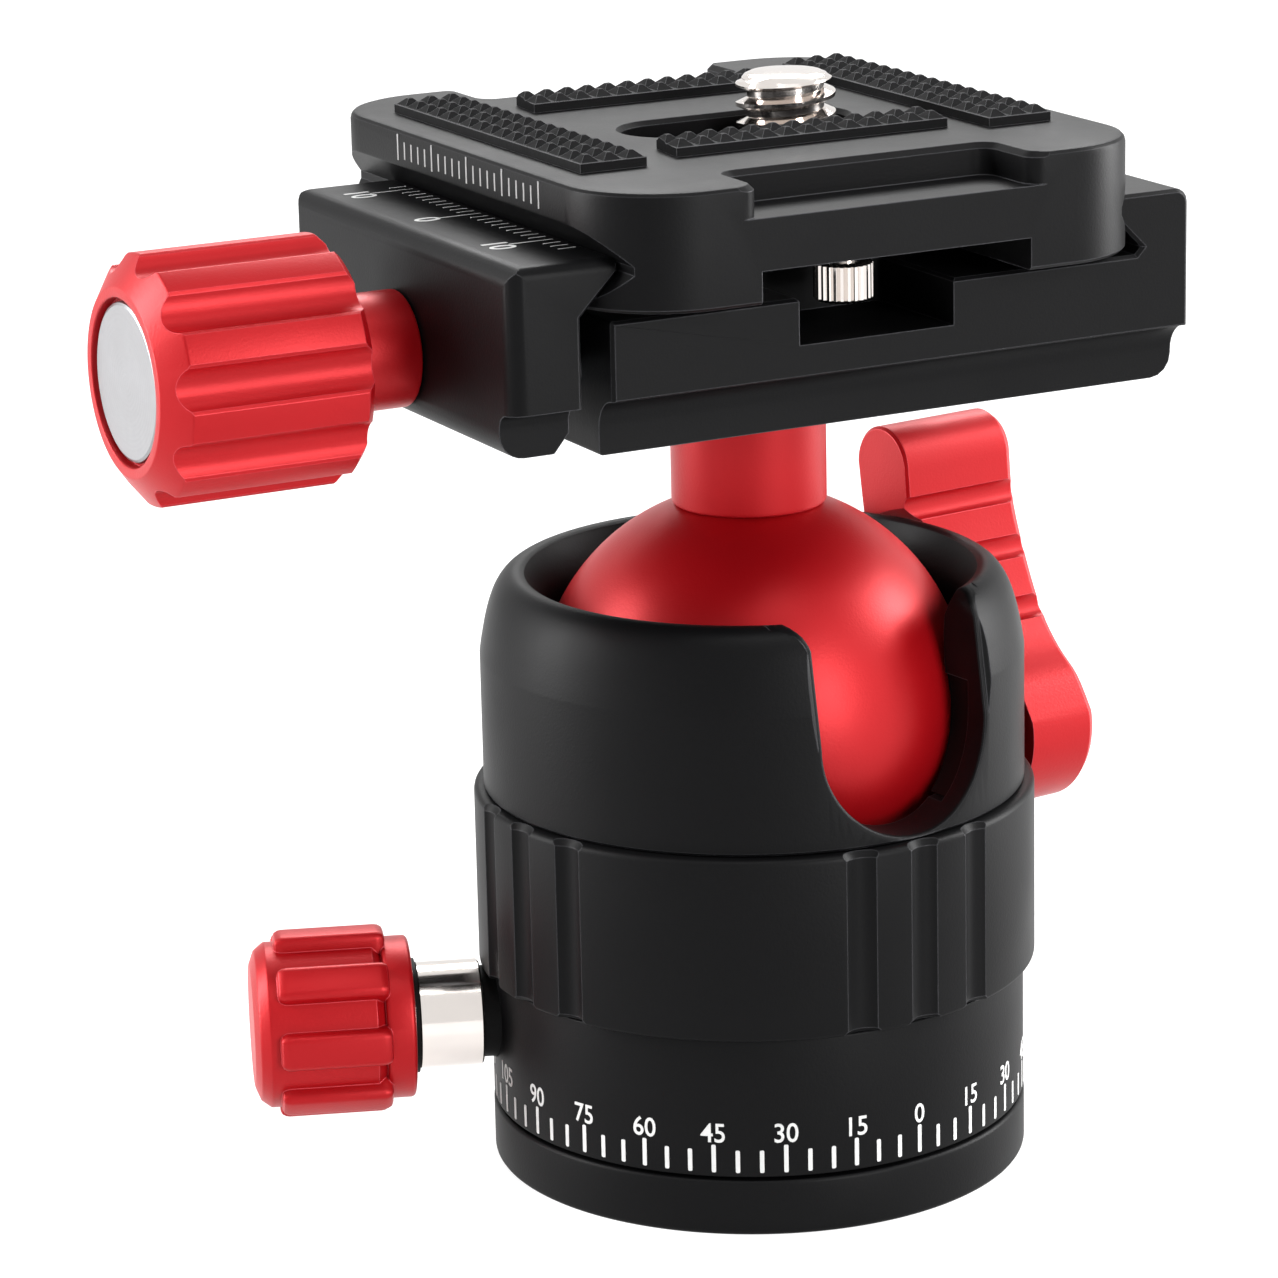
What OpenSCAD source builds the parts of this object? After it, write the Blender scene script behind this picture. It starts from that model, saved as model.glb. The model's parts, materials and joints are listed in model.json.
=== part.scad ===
// Tripod ball head with a panning body, a lever lock and a quick release clamp.
// Millimetres. +Z is up. The origin is the centre of the base's underside.
// The clamp knob points to -X and the drop notch faces the front, -Y.

/* [Base] */
// Distance that the base disc stands out past the scale body
base_step = 0.05; // [0:0.05:0.3]
// Height of the base disc
base_h = 3.7; // [3.4:0.1:5]
// Width of the spindle's foot flange
flange_w = 4; // [3.8:0.1:4.5]
// Minor diameter of the 3/8 inch tripod thread
tripod_thread_d = 7.96; // [7.8:0.02:8.1]
// Length of the threaded bush
bush_len = 9.5; // [8:0.1:9.8]
// Outer diameter of the threaded bush
bush_d = 11.2; // [10.5:0.1:12]

/* [Pan body] */
// Diameter of the scale body, which carries the degree scale
scale_d = 35; // [33:0.1:38]
// Height of the scale body
scale_h = 9.2; // [9:0.1:11]
// Distance that the grooved clamping ring stands out past the scale body
ring_step = 0.75; // [0.5:0.05:1.2]
// Height of the grooved clamping ring
ring_h = 11.9; // [11.5:0.1:13]
// Distance that the ball housing is set in from the ring
housing_step = 0.65; // [0.4:0.05:0.9]
// Height of the ball housing above the ring
housing_h = 14.1; // [14:0.1:15]
// Thickness of the housing wall
wall = 1.7; // [1.5:0.1:1.9]
// Width of the drop notch
notch_w = 12.6; // [11.6:0.1:14]
// Angle that the body is turned about the base at rest
body_turn = 7; // [-40:1:40]

/* [Ball and neck] */
// Thickness of the liner between the ball and the housing
liner_t = 1.75; // [1.4:0.05:2.2]
// Height of the ball's centre above the ring
ball_rise = 5.1; // [4.8:0.1:5.4]
// Diameter of the neck
neck_d = 10; // [9:0.1:11]
// Distance from the ball's centre to the clamp's underside
neck_reach = 21.2; // [20:0.1:24]

/* [Pan knob] */
// Direction of the pan knob from the notch
pan_knob_angle = -117; // [-150:1:-90]
// Height of the pan knob's axis
pan_axis_z = 10; // [9.8:0.1:10.2]
// Diameter of the pan knob over its ribs
pan_knob_d = 13; // [11.5:0.1:14]
// Length of the pan knob over its ribs
pan_knob_len = 8.2; // [7:0.1:10]
// Diameter of the plated shaft behind the pan knob
pan_shaft_d = 7; // [6.6:0.1:8]
// Length of the plated shaft
pan_shaft_len = 4.2; // [3:0.1:6]
// Number of ribs on the pan knob
pan_ribs = 8; // [6:1:10]

/* [Lever] */
// Height of the lever's pivot above the ring's lower edge
lever_rise = 12.15; // [11.8:0.05:12.5]
// Radius of the lever's boss
boss_r = 5.9; // [5.4:0.1:6.2]
// Thickness of the lever's arm
lever_t = 5.4; // [5:0.1:6.4]
// Diameter of the lever's threaded shaft
lever_shaft_d = 7; // [6.6:0.1:7.2]
// Radius of the lobe at the lever's tip
lobe_r = 2.75; // [2.4:0.05:3]
// Length of the lobe along the pivot
lobe_len = 9.1; // [8:0.1:9.3]

/* [Clamp] */
// Width of the clamp across the dovetail's run
clamp_w = 31.6; // [28:0.1:36]
// Distance from the neck's axis to the fixed jaw's outer face
fixed_side = 23; // [22:0.1:26]
// Distance from the neck's axis to the bed's edge by the moving jaw
moving_side = 17.6; // [16.5:0.1:18.2]
// Height of the clamp bed
bed_h = 8.5; // [8:0.1:11]
// Height of the jaws above the bed
jaw_rise = 3.85; // [3.7:0.05:4.3]
// Thickness of the moving jaw
jaw_t = 4.6; // [4.2:0.1:6]
// Travel of the moving jaw
jaw_travel = 3; // [2:0.5:4]
// Width of the stop notches in the bed
stop_notch_w = 10.8; // [8:0.1:14]
// Length of the stop notches in the bed
stop_notch_len = 9; // [7:0.1:9.4]

/* [Clamp knob] */
// Diameter of the clamp knob
knob_d = 15.4; // [14:0.1:18]
// Length of the clamp knob
knob_len = 13.3; // [12:0.1:18]
// Number of flutes on the clamp knob
knob_flutes = 10; // [8:1:12]
// Diameter of the clamp knob's collar
collar_d = 7.3; // [6.8:0.1:9]
// Length of the clamp knob's collar
collar_len = 4.9; // [1.5:0.1:6]
// Diameter of the disc in the knob's end
knob_disc_d = 9.8; // [8:0.1:10.5]
// Diameter of the clamp screw
clamp_screw_d = 6; // [5:0.5:6]
// Length of the clamp screw and the guide pins that stays in the bed when the jaw is open
grip_len = 6; // [4:0.1:7]

/* [Quick release plate] */
// Width of the plate across the dovetail
plate_w = 38; // [37.6:0.1:38.4]
// Length of the plate
plate_len = 42.3; // [38:0.1:50]
// Thickness of the plate
plate_t = 7.2; // [7:0.1:8]
// Distance that the plate is set forward of the clamp's middle, given as a place along Y
plate_shift = 1.85; // [1:0.05:2.5]
// Thickness of the rubber pads
pad_t = 1; // [0.6:0.1:1.4]
// Diameter of the camera screw's thread
camera_screw_d = 6.35; // [6.35:0.01:6.35]
// Diameter of the camera screw's shank, which passes through the plate
camera_shank_d = 5; // [4.4:0.1:5.4]
// Height of the camera screw above the plate
camera_screw_h = 3; // [2.5:0.1:5]
// Place of the camera screw along its slot
camera_screw_x = 3.7; // [-4:0.1:4]
// Half the length of the camera screw's slot
slot_half = 7.7; // [7.6:0.1:8]

/* [Clearances] */
// Seam between two rings that turn or meet
seam = 0.2; // [0.1:0.05:0.3]
// Radial clearance of a turning fit
fit = 0.05; // [0.02:0.01:0.08]
// Gap between the dovetail's faces
dovetail_gap = 0.1; // [0.06:0.01:0.2]
// Gap between the ball and its seats
ball_gap = 0.1; // [0.05:0.01:0.15]
// Gap between the housing's rim and the lever's swing
rim_gap = 0.2; // [0.1:0.05:0.5]

/* [Hidden] */
$fn = 96;
eps = 0.01;
over = 1;

// Diameters of the round parts, from the scale body outwards and inwards
base_d = scale_d + 2 * base_step;
ring_d = scale_d + 2 * ring_step;
housing_d = ring_d - 2 * housing_step;
ring_t = 2;
spigot_r = ring_d / 2 - ring_t;
lower_bore_r = spigot_r - 1.65;
upper_bore_r = housing_d / 2 - wall;
ball_r = upper_bore_r - fit - liner_t - ball_gap;
floor_w = 3.4;
bearing_r = lower_bore_r - floor_w;
retaining_r = bearing_r - 0.4;
spindle_d = 2 * (retaining_r - 2.8);
flange_d = spindle_d + 2 * flange_w;

// Heights up the stack
z_scale = base_h + seam;
z_ring = z_scale + scale_h;
z_ring_top = z_ring + seam / 2 + ring_h;
z_housing = z_ring_top + seam / 2;
z_rim = z_housing + housing_h;
z_ball = z_housing + ball_rise;
z_lever = z_ring + lever_rise;

// Pan bearing
flange_h = 1.5;
flange_up = 0.3;
washer_t = 0.65;
retaining_t = 1.2;
z_washer = z_ring - 0.8;
z_spindle_top = z_washer + washer_t + fit;
z_retaining_top = z_spindle_top + retaining_t;
base_screw_ring = (spindle_d + flange_d) / 4;
retaining_screw_ring = spindle_d / 2 - 3.4;

// Housing
floor_t = 1.3;
z_floor_in = z_ring + floor_t;
ledge_t = 1.2;
z_ledge = z_housing + ledge_t;
z_lip = z_ball + 3.3;
lip_r = ball_at(z_lip - z_ball) + 0.2;
notch_z = z_housing + notch_w / 2 + 0.2;
notch_flare = 1.8;
flare_up = 0.35;
liner_notch_gap = 0.4;
rim_crest_in = 1.5;
rim_crest_down = 0.55;

// Pan knob, as distances out from the body's axis
pan_thread_d = 4;
pan_pad_in = spindle_d / 2 + 0.1;
pan_pad_out = pan_pad_in + 2.5;
pan_seat_r = scale_d / 2 - 0.25;
pan_shaft_in = ring_d / 2 + 0.15;
pan_shaft_out = pan_shaft_in + pan_shaft_len;
pan_washer_t = 0.35;
pan_seat_washer_r = 3;
pan_knob_in = pan_shaft_out + pan_washer_t;
pan_flange_len = 1.9;
pan_flange_d = pan_knob_d - 1.6;
pan_tip_d = pan_knob_d - 2.2;

// Lever, as distances out from the body's axis
lever_in = ring_d / 2 + 0.4;
lever_out = lever_in + lever_t;
lobe_in = lever_out - lobe_len;
shoe_d = lever_shaft_d - 0.8;
shoe_out = ball_r + 1.3;
lever_shaft_out = lever_in + 3;
lobe_up = 17.05;
lobe_back = 5.7;
rim_sweep_r = norm([housing_d / 2 - rim_crest_in, z_rim - rim_crest_down - z_lever]) + rim_gap;

// Clamp
z_bed = z_ball + neck_reach;
z_floor = z_bed + bed_h;
z_jaw = z_floor + jaw_rise;
plate_gap = 0.7;
z_plate = z_floor + plate_gap;
z_plate_top = z_plate + plate_t;
cove_h = 2.9;
cove_in = 2;
dovetail_edge = 0.2;
dovetail_h = 2.1;
dovetail_flat = 0.5;
flank_sum = plate_w / 2 + z_plate + dovetail_edge;
jaw_sum = flank_sum + dovetail_gap * sqrt(2);
z_apex = z_plate - 0.25;
z_tip = z_plate + dovetail_edge + dovetail_h;
apex_x = jaw_sum - z_apex;
tip_x = jaw_sum - z_tip;
tip_bevel = z_jaw - z_tip - dovetail_flat;
jaw_out = apex_x + jaw_t;
z_clamp_axis = z_bed + 4.9;
z_foot = z_bed + 0.5;
bolt_d = 5;
bolt_head_d = 8.5;
bolt_socket_d = 4.6;
bolt_socket_depth = 2.4;
bolt_head_h = 3.2;
pin_d = 3;
pin_y = clamp_w / 2 - 5.6;
in_bed = jaw_travel + grip_len;
pin_skin = 0.9;
pin_end_gap = 0.3;
knob_in = jaw_out + collar_len;
knob_bore_len = 9;
disc_in = 0.2;
disc_t = 1.5;

// Plate
plate_front = plate_shift - plate_len / 2;
plate_back = plate_shift + plate_len / 2;
side_wall_h = 2.3;
plate_corner = 4.4;
recess_w = 18.6;
recess_d = 2;
recess_len = 5;
channel_w = 18.6;
channel_h = 2;
pocket_w = 11.4;
pocket_h = 1.6;
z_channel = z_plate + channel_h;
z_pocket = z_channel + pocket_h;
slot_y = plate_shift - 0.75;
slot_r = camera_screw_d / 2 + 0.1;
head_r = 5.4;
head_t = 1.4;
coin_slot_w = 1.2;
coin_slot_depth = 0.8;
stop_screw_in = 7.3;
stop_head_d = 3.7;
stop_head_h = 2.5;
stop_head_up = 0.5;
stop_shank_d = 2.2;
stop_grip = 2.2;
pad_strip_w = 4.5;
side_pad_x = 14.25;
side_pad_y = plate_shift + 1.4;
side_pad_len = plate_len - 15.8;
side_pad_points = 17;
side_pad_rows = 3;
end_pad_len = 19.1;
end_pad_w = 3.4;
end_pad_mitre = 0.4;
end_pad_points = 13;
end_pad_rows = 2;
end_pad_x = 0.4;
end_pad_y = [plate_front + 10.9, plate_back - 8.5 - end_pad_w];
// Blunt points on the pads, each with a flat top in the middle and a narrow flat floor round it
point_h = 0.42;
point_flat = 0.15;
point_floor = 0.12;

// ---------- shared shapes ----------

// Radius of the ball at a height from its centre
function ball_at(h) = sqrt(ball_r * ball_r - h * h);

// Places children along a line that leaves the body's axis; their +Z points outwards
module outward(angle, z) {
    rotate([0, 0, angle])
        translate([0, 0, z])
            rotate([90, 0, 0]) children();
}

// Turns children with the panning body
module panned() {
    rotate([0, 0, body_turn]) children();
}

// Extrudes an outline drawn in X and Z along Y
module across(width) {
    rotate([90, 0, 0])
        linear_extrude(width, center = true) children();
}

// Rectangle with round corners
module soft_rectangle(x, y, r) {
    square([x - 2 * r, y], center = true);
    square([x, y - 2 * r], center = true);
    for (sx = [-1, 1], sy = [-1, 1])
        translate([sx * (x / 2 - r), sy * (y / 2 - r)]) circle(r);
}

// Slot with round ends, along X
module slot_shape(half_length, r) {
    square([2 * (half_length - r), 2 * r], center = true);
    for (s = [-1, 1])
        translate([s * (half_length - r), 0]) circle(r);
}

// Ring with a flat section
module flat_ring(outer_r, inner_r, height) {
    difference() {
        cylinder(h = height, r = outer_r);
        translate([0, 0, -over]) cylinder(h = height + 2 * over, r = inner_r);
    }
}

// Countersunk screw, with its head's top at z = 0 and its shank downwards
module countersunk_screw(d, head_d, length) {
    head_h = (head_d - d) / 2;
    difference() {
        rotate_extrude()
            polygon([[0, 0], [head_d / 2, 0], [d / 2, -head_h], [d / 2, -length], [0, -length]]);
        translate([0, 0, -head_h * 0.8]) cylinder(h = over + head_h, d = head_d * 0.42, $fn = 6);
    }
}

// The hole that such a screw sits in
module countersunk_hole(d, head_d, length) {
    head_h = (head_d - d) / 2;
    rotate_extrude()
        polygon([[0, over], [head_d / 2 + fit, over], [head_d / 2 + fit, 0], [d / 2 + fit, -head_h],
                 [d / 2 + fit, -length - fit], [0, -length - fit]]);
}

// Copies children evenly around an axis
module around(count, radius, start = 0) {
    for (i = [0 : count - 1])
        rotate([0, 0, start + i * 360 / count])
            translate([radius, 0, 0]) children();
}

// ---------- base, the fixed body ----------

base_screw = [2, 3.6, 3];
module base_screw_places() {
    around(3, base_screw_ring, 30)
        translate([0, 0, flange_up]) mirror([0, 0, 1]) children();
}

module base_disc() {
    edge = 0.35;
    color("#1c1c1e")
    difference() {
        rotate_extrude()
            polygon([[spindle_d / 2 + fit, flange_up + flange_h + fit], [flange_d / 2 + fit, flange_up + flange_h + fit],
                     [flange_d / 2 + fit, 0], [base_d / 2 - edge, 0], [base_d / 2, edge],
                     [base_d / 2, base_h - edge / 2], [base_d / 2 - edge / 2, base_h],
                     [spindle_d / 2 + fit, base_h]]);
        base_screw_places() countersunk_hole(base_screw[0], base_screw[1], base_screw[2]);
    }
}

module base_screws() {
    color("#8d9094")
    base_screw_places() countersunk_screw(base_screw[0], base_screw[1], base_screw[2]);
}

module pan_spindle() {
    color("#7d8085")
    difference() {
        rotate_extrude()
            polygon([[bush_d / 2 + fit, flange_up], [flange_d / 2, flange_up], [flange_d / 2, flange_up + flange_h],
                     [spindle_d / 2, flange_up + flange_h], [spindle_d / 2, z_spindle_top], [0, z_spindle_top],
                     [0, bush_len + fit], [bush_d / 2 + fit, bush_len + fit]]);
        base_screw_places() countersunk_hole(base_screw[0], base_screw[1], base_screw[2]);
        retaining_screw_places()
            countersunk_hole(retaining_screw[0], retaining_screw[1], retaining_screw[2]);
    }
}

module thread_bush() {
    color("#b9babc")
    flat_ring(bush_d / 2, tripod_thread_d / 2, bush_len);
}

retaining_screw = [2, 3.8, 3.6];
module retaining_screw_places() {
    around(3, retaining_screw_ring, 90)
        translate([0, 0, z_retaining_top]) children();
}

module retaining_plate() {
    color("#9a9da1")
    difference() {
        translate([0, 0, z_spindle_top]) cylinder(h = retaining_t, r = retaining_r);
        retaining_screw_places()
            countersunk_hole(retaining_screw[0], retaining_screw[1], retaining_screw[2]);
    }
}

module retaining_screws() {
    color("#8d9094")
    retaining_screw_places()
        countersunk_screw(retaining_screw[0], retaining_screw[1], retaining_screw[2]);
}

// ---------- panning body ----------

module friction_washer() {
    color("#e6e2d6")
    translate([0, 0, z_washer]) flat_ring(bearing_r - 0.2, spindle_d / 2 + 2 * fit, washer_t);
}

body_screw = [2, 3.4, 5];
module body_screw_places() {
    panned()
    around(3, (bearing_r + lower_bore_r) / 2, pan_knob_angle - 90 + 60)
        translate([0, 0, z_floor_in]) children();
}

module scale_body() {
    edge = 0.2;
    color("#1c1c1e")
    difference() {
        rotate_extrude()
            polygon([[spindle_d / 2 + fit, z_scale], [scale_d / 2 - edge, z_scale], [scale_d / 2, z_scale + edge],
                     [scale_d / 2, z_ring], [bearing_r, z_ring], [bearing_r, z_washer],
                     [spindle_d / 2 + fit, z_washer]]);
        panned() outward(pan_knob_angle, pan_axis_z) {
            cylinder(h = scale_d, d = pan_thread_d + 2 * fit);
            translate([0, 0, pan_seat_r]) cylinder(h = over, r = pan_seat_washer_r + fit);
        }
        body_screw_places() countersunk_hole(body_screw[0], body_screw[1], body_screw[2]);
    }
}

// Flutes come in clusters of three between wide smooth panels
flute_clusters = 4;
flute_step = 14.2;
module grip_ring() {
    flute_r = 1.5;
    flute_depth = 0.42;
    bevel = 0.45;
    z0 = z_ring + seam / 2;
    color("#202022")
    difference() {
        rotate_extrude()
            polygon([[spigot_r + fit, z0], [ring_d / 2 - bevel / 2, z0], [ring_d / 2, z0 + bevel / 2],
                     [ring_d / 2, z_ring_top - bevel], [ring_d / 2 - bevel, z_ring_top],
                     [spigot_r + fit, z_ring_top]]);
        panned()
        for (c = [0 : flute_clusters - 1], k = [-1 : 1])
            rotate(c * 360 / flute_clusters + k * flute_step)
                translate([0, flute_depth - flute_r - ring_d / 2, z0 - over])
                    cylinder(h = ring_h + 2 * over, r = flute_r);
        panned() outward(90, z_lever) cylinder(h = ring_d, d = lever_shaft_d + 2 * fit);
    }
}

// Outline of the drop notch in X and Z
module notch_outline(extra) {
    half = notch_w / 2 + extra;
    translate([0, notch_z]) circle(half);
    translate([-half, notch_z]) square([2 * half, z_rim + over - notch_z]);
    difference() {
        translate([-half - notch_flare, z_rim - notch_flare + flare_up])
            square([2 * (half + notch_flare), notch_flare + over]);
        for (s = [-1, 1])
            translate([s * (half + notch_flare), z_rim - notch_flare + flare_up]) circle(notch_flare);
    }
}

module notch_cut(extra = 0) {
    reach = housing_d / 2 + over;
    inner = ball_r * 0.5;
    translate([0, -(reach + inner) / 2, 0]) across(reach - inner) notch_outline(extra);
}

module housing() {
    outer = housing_d / 2;
    color("#1c1c1e")
    difference() {
        rotate_extrude()
            polygon([[bearing_r, z_ring], [spigot_r, z_ring], [spigot_r, z_housing], [outer - 0.1, z_housing],
                     [outer, z_housing + 0.15], [outer, z_rim - 5.3], [outer - 0.16, z_rim - 4.3],
                     [outer - 0.5, z_rim - 2.7], [outer - 0.95, z_rim - 1.4], [outer - rim_crest_in, z_rim - rim_crest_down],
                     [outer - 2.1, z_rim - 0.1], [outer - 2.6, z_rim], [outer - 3, z_rim - 0.15],
                     [lip_r - 0.15, z_lip + 1.9], [lip_r, z_lip], [upper_bore_r, z_lip],
                     [upper_bore_r, z_ledge], [lower_bore_r, z_ledge], [lower_bore_r, z_floor_in],
                     [bearing_r, z_floor_in]]);
        panned() {
            notch_cut();
            outward(90, z_lever) cylinder(h = housing_d, d = lever_shaft_d + 2 * fit);
        }
        body_screw_places() countersunk_hole(body_screw[0], body_screw[1], body_screw[2]);
    }
}

module body_screws() {
    color("#8d9094")
    body_screw_places() countersunk_screw(body_screw[0], body_screw[1], body_screw[2]);
}

module ball_space(gap) {
    translate([0, 0, z_ball]) sphere(ball_r + gap);
}

module ball_liner() {
    color("#101012")
    difference() {
        translate([0, 0, z_ledge + fit])
            cylinder(h = z_lip - z_ledge - 2 * fit, r = upper_bore_r - fit);
        ball_space(ball_gap);
        translate([0, 0, z_ledge - over]) cylinder(h = z_ball - z_ledge + over, r = ball_r + ball_gap);
        panned() {
            notch_cut(liner_notch_gap);
            outward(90, z_lever) cylinder(h = housing_d, d = lever_shaft_d + 2 * fit);
        }
    }
}

cup_spring_t = 1;
cup_h = z_lever - shoe_d / 2 - 0.4 - z_floor_in - cup_spring_t;
module ball_cup() {
    color("#e6e2d6")
    difference() {
        translate([0, 0, z_floor_in + cup_spring_t])
            flat_ring(lower_bore_r - 0.1, bearing_r - 2.6, cup_h);
        ball_space(ball_gap);
    }
}

module cup_spring() {
    half_t = 0.35;
    color("#b0b3b7")
    rotate_extrude()
        polygon([[bearing_r + 0.2, z_floor_in + cup_spring_t - half_t], [lower_bore_r - 0.3, z_floor_in],
                 [lower_bore_r - 0.3, z_floor_in + half_t],
                 [bearing_r + 0.2, z_floor_in + cup_spring_t]]);
}

module lock_shoe() {
    color("#e6e2d6")
    difference() {
        panned() outward(90, z_lever) cylinder(h = shoe_out, d = shoe_d);
        ball_space(ball_gap);
        panned() outward(90, z_lever) translate([0, 0, -over]) cylinder(h = ball_r * 0.7, r = shoe_d);
    }
}

module lever_washer() {
    color("#101012")
    panned() outward(90, z_lever) translate([0, 0, ring_d / 2 + 0.03])
        flat_ring(boss_r - 1, lever_shaft_d / 2 + fit, lever_in - ring_d / 2 - 0.06);
}

module pan_brake_pad() {
    color("#c8a24a")
    difference() {
        panned() outward(pan_knob_angle, pan_axis_z) cylinder(h = pan_pad_out, d = pan_thread_d);
        cylinder(h = z_ring, r = pan_pad_in);
    }
}

module pan_seat_washer() {
    color("#0d0d0e")
    panned() outward(pan_knob_angle, pan_axis_z) translate([0, 0, pan_seat_r])
        flat_ring(pan_seat_washer_r, pan_thread_d / 2 + fit, pan_shaft_in - pan_seat_r - fit);
}

// ---------- pan knob ----------

module pan_screw() {
    color("#d9dadc")
    panned() outward(pan_knob_angle, pan_axis_z) {
        translate([0, 0, pan_pad_out + 0.1])
            cylinder(h = pan_knob_in + 5 - pan_pad_out - 0.1, d = pan_thread_d);
        translate([0, 0, pan_shaft_in]) cylinder(h = pan_shaft_len, d = pan_shaft_d);
    }
}

module pan_shaft_washer() {
    color("#0d0d0e")
    panned() outward(pan_knob_angle, pan_axis_z) translate([0, 0, pan_shaft_out])
        flat_ring(pan_shaft_d / 2 + 0.25, pan_thread_d / 2, pan_washer_t);
}

module pan_knob() {
    rib_r = 1.35;
    tip_len = 1.1;
    body_len = pan_flange_len + pan_knob_len - tip_len;
    color("#d2323c")
    panned() outward(pan_knob_angle, pan_axis_z) translate([0, 0, pan_knob_in])
    difference() {
        union() {
            cylinder(h = pan_flange_len, d = pan_flange_d);
            rotate_extrude()
                polygon([[0, 0], [pan_tip_d / 2, 0], [pan_tip_d / 2, body_len], [pan_tip_d / 2 - 0.5, body_len + 0.7],
                         [pan_tip_d / 2 - 1.3, body_len + tip_len], [0, body_len + tip_len]]);
            intersection() {
                translate([0, 0, pan_flange_len - 0.2]) rotate_extrude()
                    polygon([[0, 0], [pan_knob_d / 2 - 0.8, 0], [pan_knob_d / 2, 0.8],
                             [pan_knob_d / 2, pan_knob_len - 2.4], [pan_knob_d / 2 - 1, pan_knob_len - 1.4],
                             [0, pan_knob_len - 1.4]]);
                linear_extrude(body_len)
                    around(pan_ribs, pan_knob_d / 2 - rib_r) circle(rib_r);
            }
        }
        translate([0, 0, -over]) cylinder(h = 5 + over, d = pan_thread_d);
    }
}

// ---------- lever ----------

// Outline of the arm, seen along the pivot: X points backwards, Y up, origin at the pivot
module lever_outline() {
    circle(boss_r);
    translate([lobe_back, lobe_up]) circle(lobe_r);
    up = lobe_up;
    polygon([[boss_r - 0.05, 0.024 * up], [boss_r + 0.45, 0.27 * up], [boss_r + 1.25, 0.551 * up],
             [boss_r + 2.05, 0.798 * up], [lobe_back + lobe_r, up], [lobe_back - lobe_r, up],
             [2.55, 0.806 * up], [1.02, 0.581 * up], [-0.5, 0.41 * up], [-2.06, 0.295 * up],
             [-4.3, 0.188 * up], [-boss_r + 0.1, 0.059 * up], [0, 0]]);
}

// Three cross grooves on the side of the arm that a finger pulls
module lever_grooves() {
    for (place = [[2.75, 0.839], [1.35, 0.651], [0.1, 0.463]])
        translate([place[0], place[1] * lobe_up]) rotate(22) translate([-0.9, -0.6]) square([1.4, 1.2]);
}

// The arm's outline with its cross grooves
module grooved_outline() {
    difference() {
        lever_outline();
        lever_grooves();
    }
}

module lever() {
    color("#d2323c")
    panned() outward(90, z_lever)
    difference() {
        union() {
            translate([0, 0, lever_in]) linear_extrude(lever_t) grooved_outline();
            // Over the rim the arm reaches inwards to the end of the lobe, and a sphere round the pivot keeps its swing free
            difference() {
                translate([0, 0, lobe_in]) linear_extrude(lever_in - lobe_in + eps) grooved_outline();
                sphere(rim_sweep_r);
            }
        }
        cylinder(h = lever_shaft_out, d = lever_shaft_d);
        translate([0, 0, lever_out]) lever_screw_hole();
    }
}

lever_screw = [3, 6, 6];
module lever_screw_hole() {
    countersunk_hole(lever_screw[0], lever_screw[1], lever_screw[2]);
}

module lever_shaft() {
    color("#b9babc")
    panned() outward(90, z_lever)
    difference() {
        translate([0, 0, shoe_out + 0.1]) cylinder(h = lever_shaft_out - shoe_out - 0.1, d = lever_shaft_d);
        translate([0, 0, lever_out]) lever_screw_hole();
    }
}

module lever_screw() {
    color("#8d9094")
    panned() outward(90, z_lever) translate([0, 0, lever_out])
        countersunk_screw(lever_screw[0], lever_screw[1], lever_screw[2]);
}

// ---------- ball and neck ----------

module ball() {
    color("#c62a34")
    translate([0, 0, z_ball]) sphere(ball_r);
}

neck_bolt_depth = 6;
module neck() {
    color("#c62a34")
    difference() {
        translate([0, 0, z_ball]) cylinder(h = neck_reach - fit, d = neck_d);
        ball_space(fit);
        translate([0, 0, z_bed - neck_bolt_depth]) cylinder(h = neck_bolt_depth + over, d = bolt_d + 2 * fit);
    }
}

// ---------- clamp ----------

// Steps the lower edge of a block in at its front and back, with a small cove
module end_coves(low_x, high_x, z, height) {
    cove_r = 1;
    for (s = [-1, 1])
        translate([0, s * (clamp_w / 2 - cove_in), 0]) {
            translate([low_x - over, s > 0 ? 0 : -cove_in - over, z - over])
                cube([high_x - low_x + 2 * over, cove_in + over, height + over - cove_r]);
            translate([low_x - over, s > 0 ? cove_r : -cove_in - over, z + height - cove_r - eps])
                cube([high_x - low_x + 2 * over, cove_in + over - cove_r, cove_r + eps]);
            translate([low_x - over, s * cove_r, z + height - cove_r]) rotate([0, 90, 0])
                cylinder(h = high_x - low_x + 2 * over, r = cove_r);
        }
}

module bed_outline() {
    corner = 0.9;
    difference() {
        polygon([[-moving_side, z_bed], [fixed_side - cove_in, z_bed], [fixed_side - cove_in, z_bed + 1.9],
                 [fixed_side - cove_in * 0.6, z_bed + 2.6], [fixed_side, z_bed + cove_h],
                 [fixed_side, z_jaw], [tip_x + tip_bevel, z_jaw], [tip_x, z_jaw - tip_bevel], [tip_x, z_tip], [apex_x, z_apex],
                 [apex_x - 1.3, z_floor - 0.8], [apex_x - 1.9, z_floor - 0.8], [apex_x - 2.5, z_floor],
                 [-moving_side, z_floor]]);
        translate([fixed_side - corner, z_jaw - corner])
            difference() {
                square(corner + over);
                circle(corner);
            }
    }
}

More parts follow.
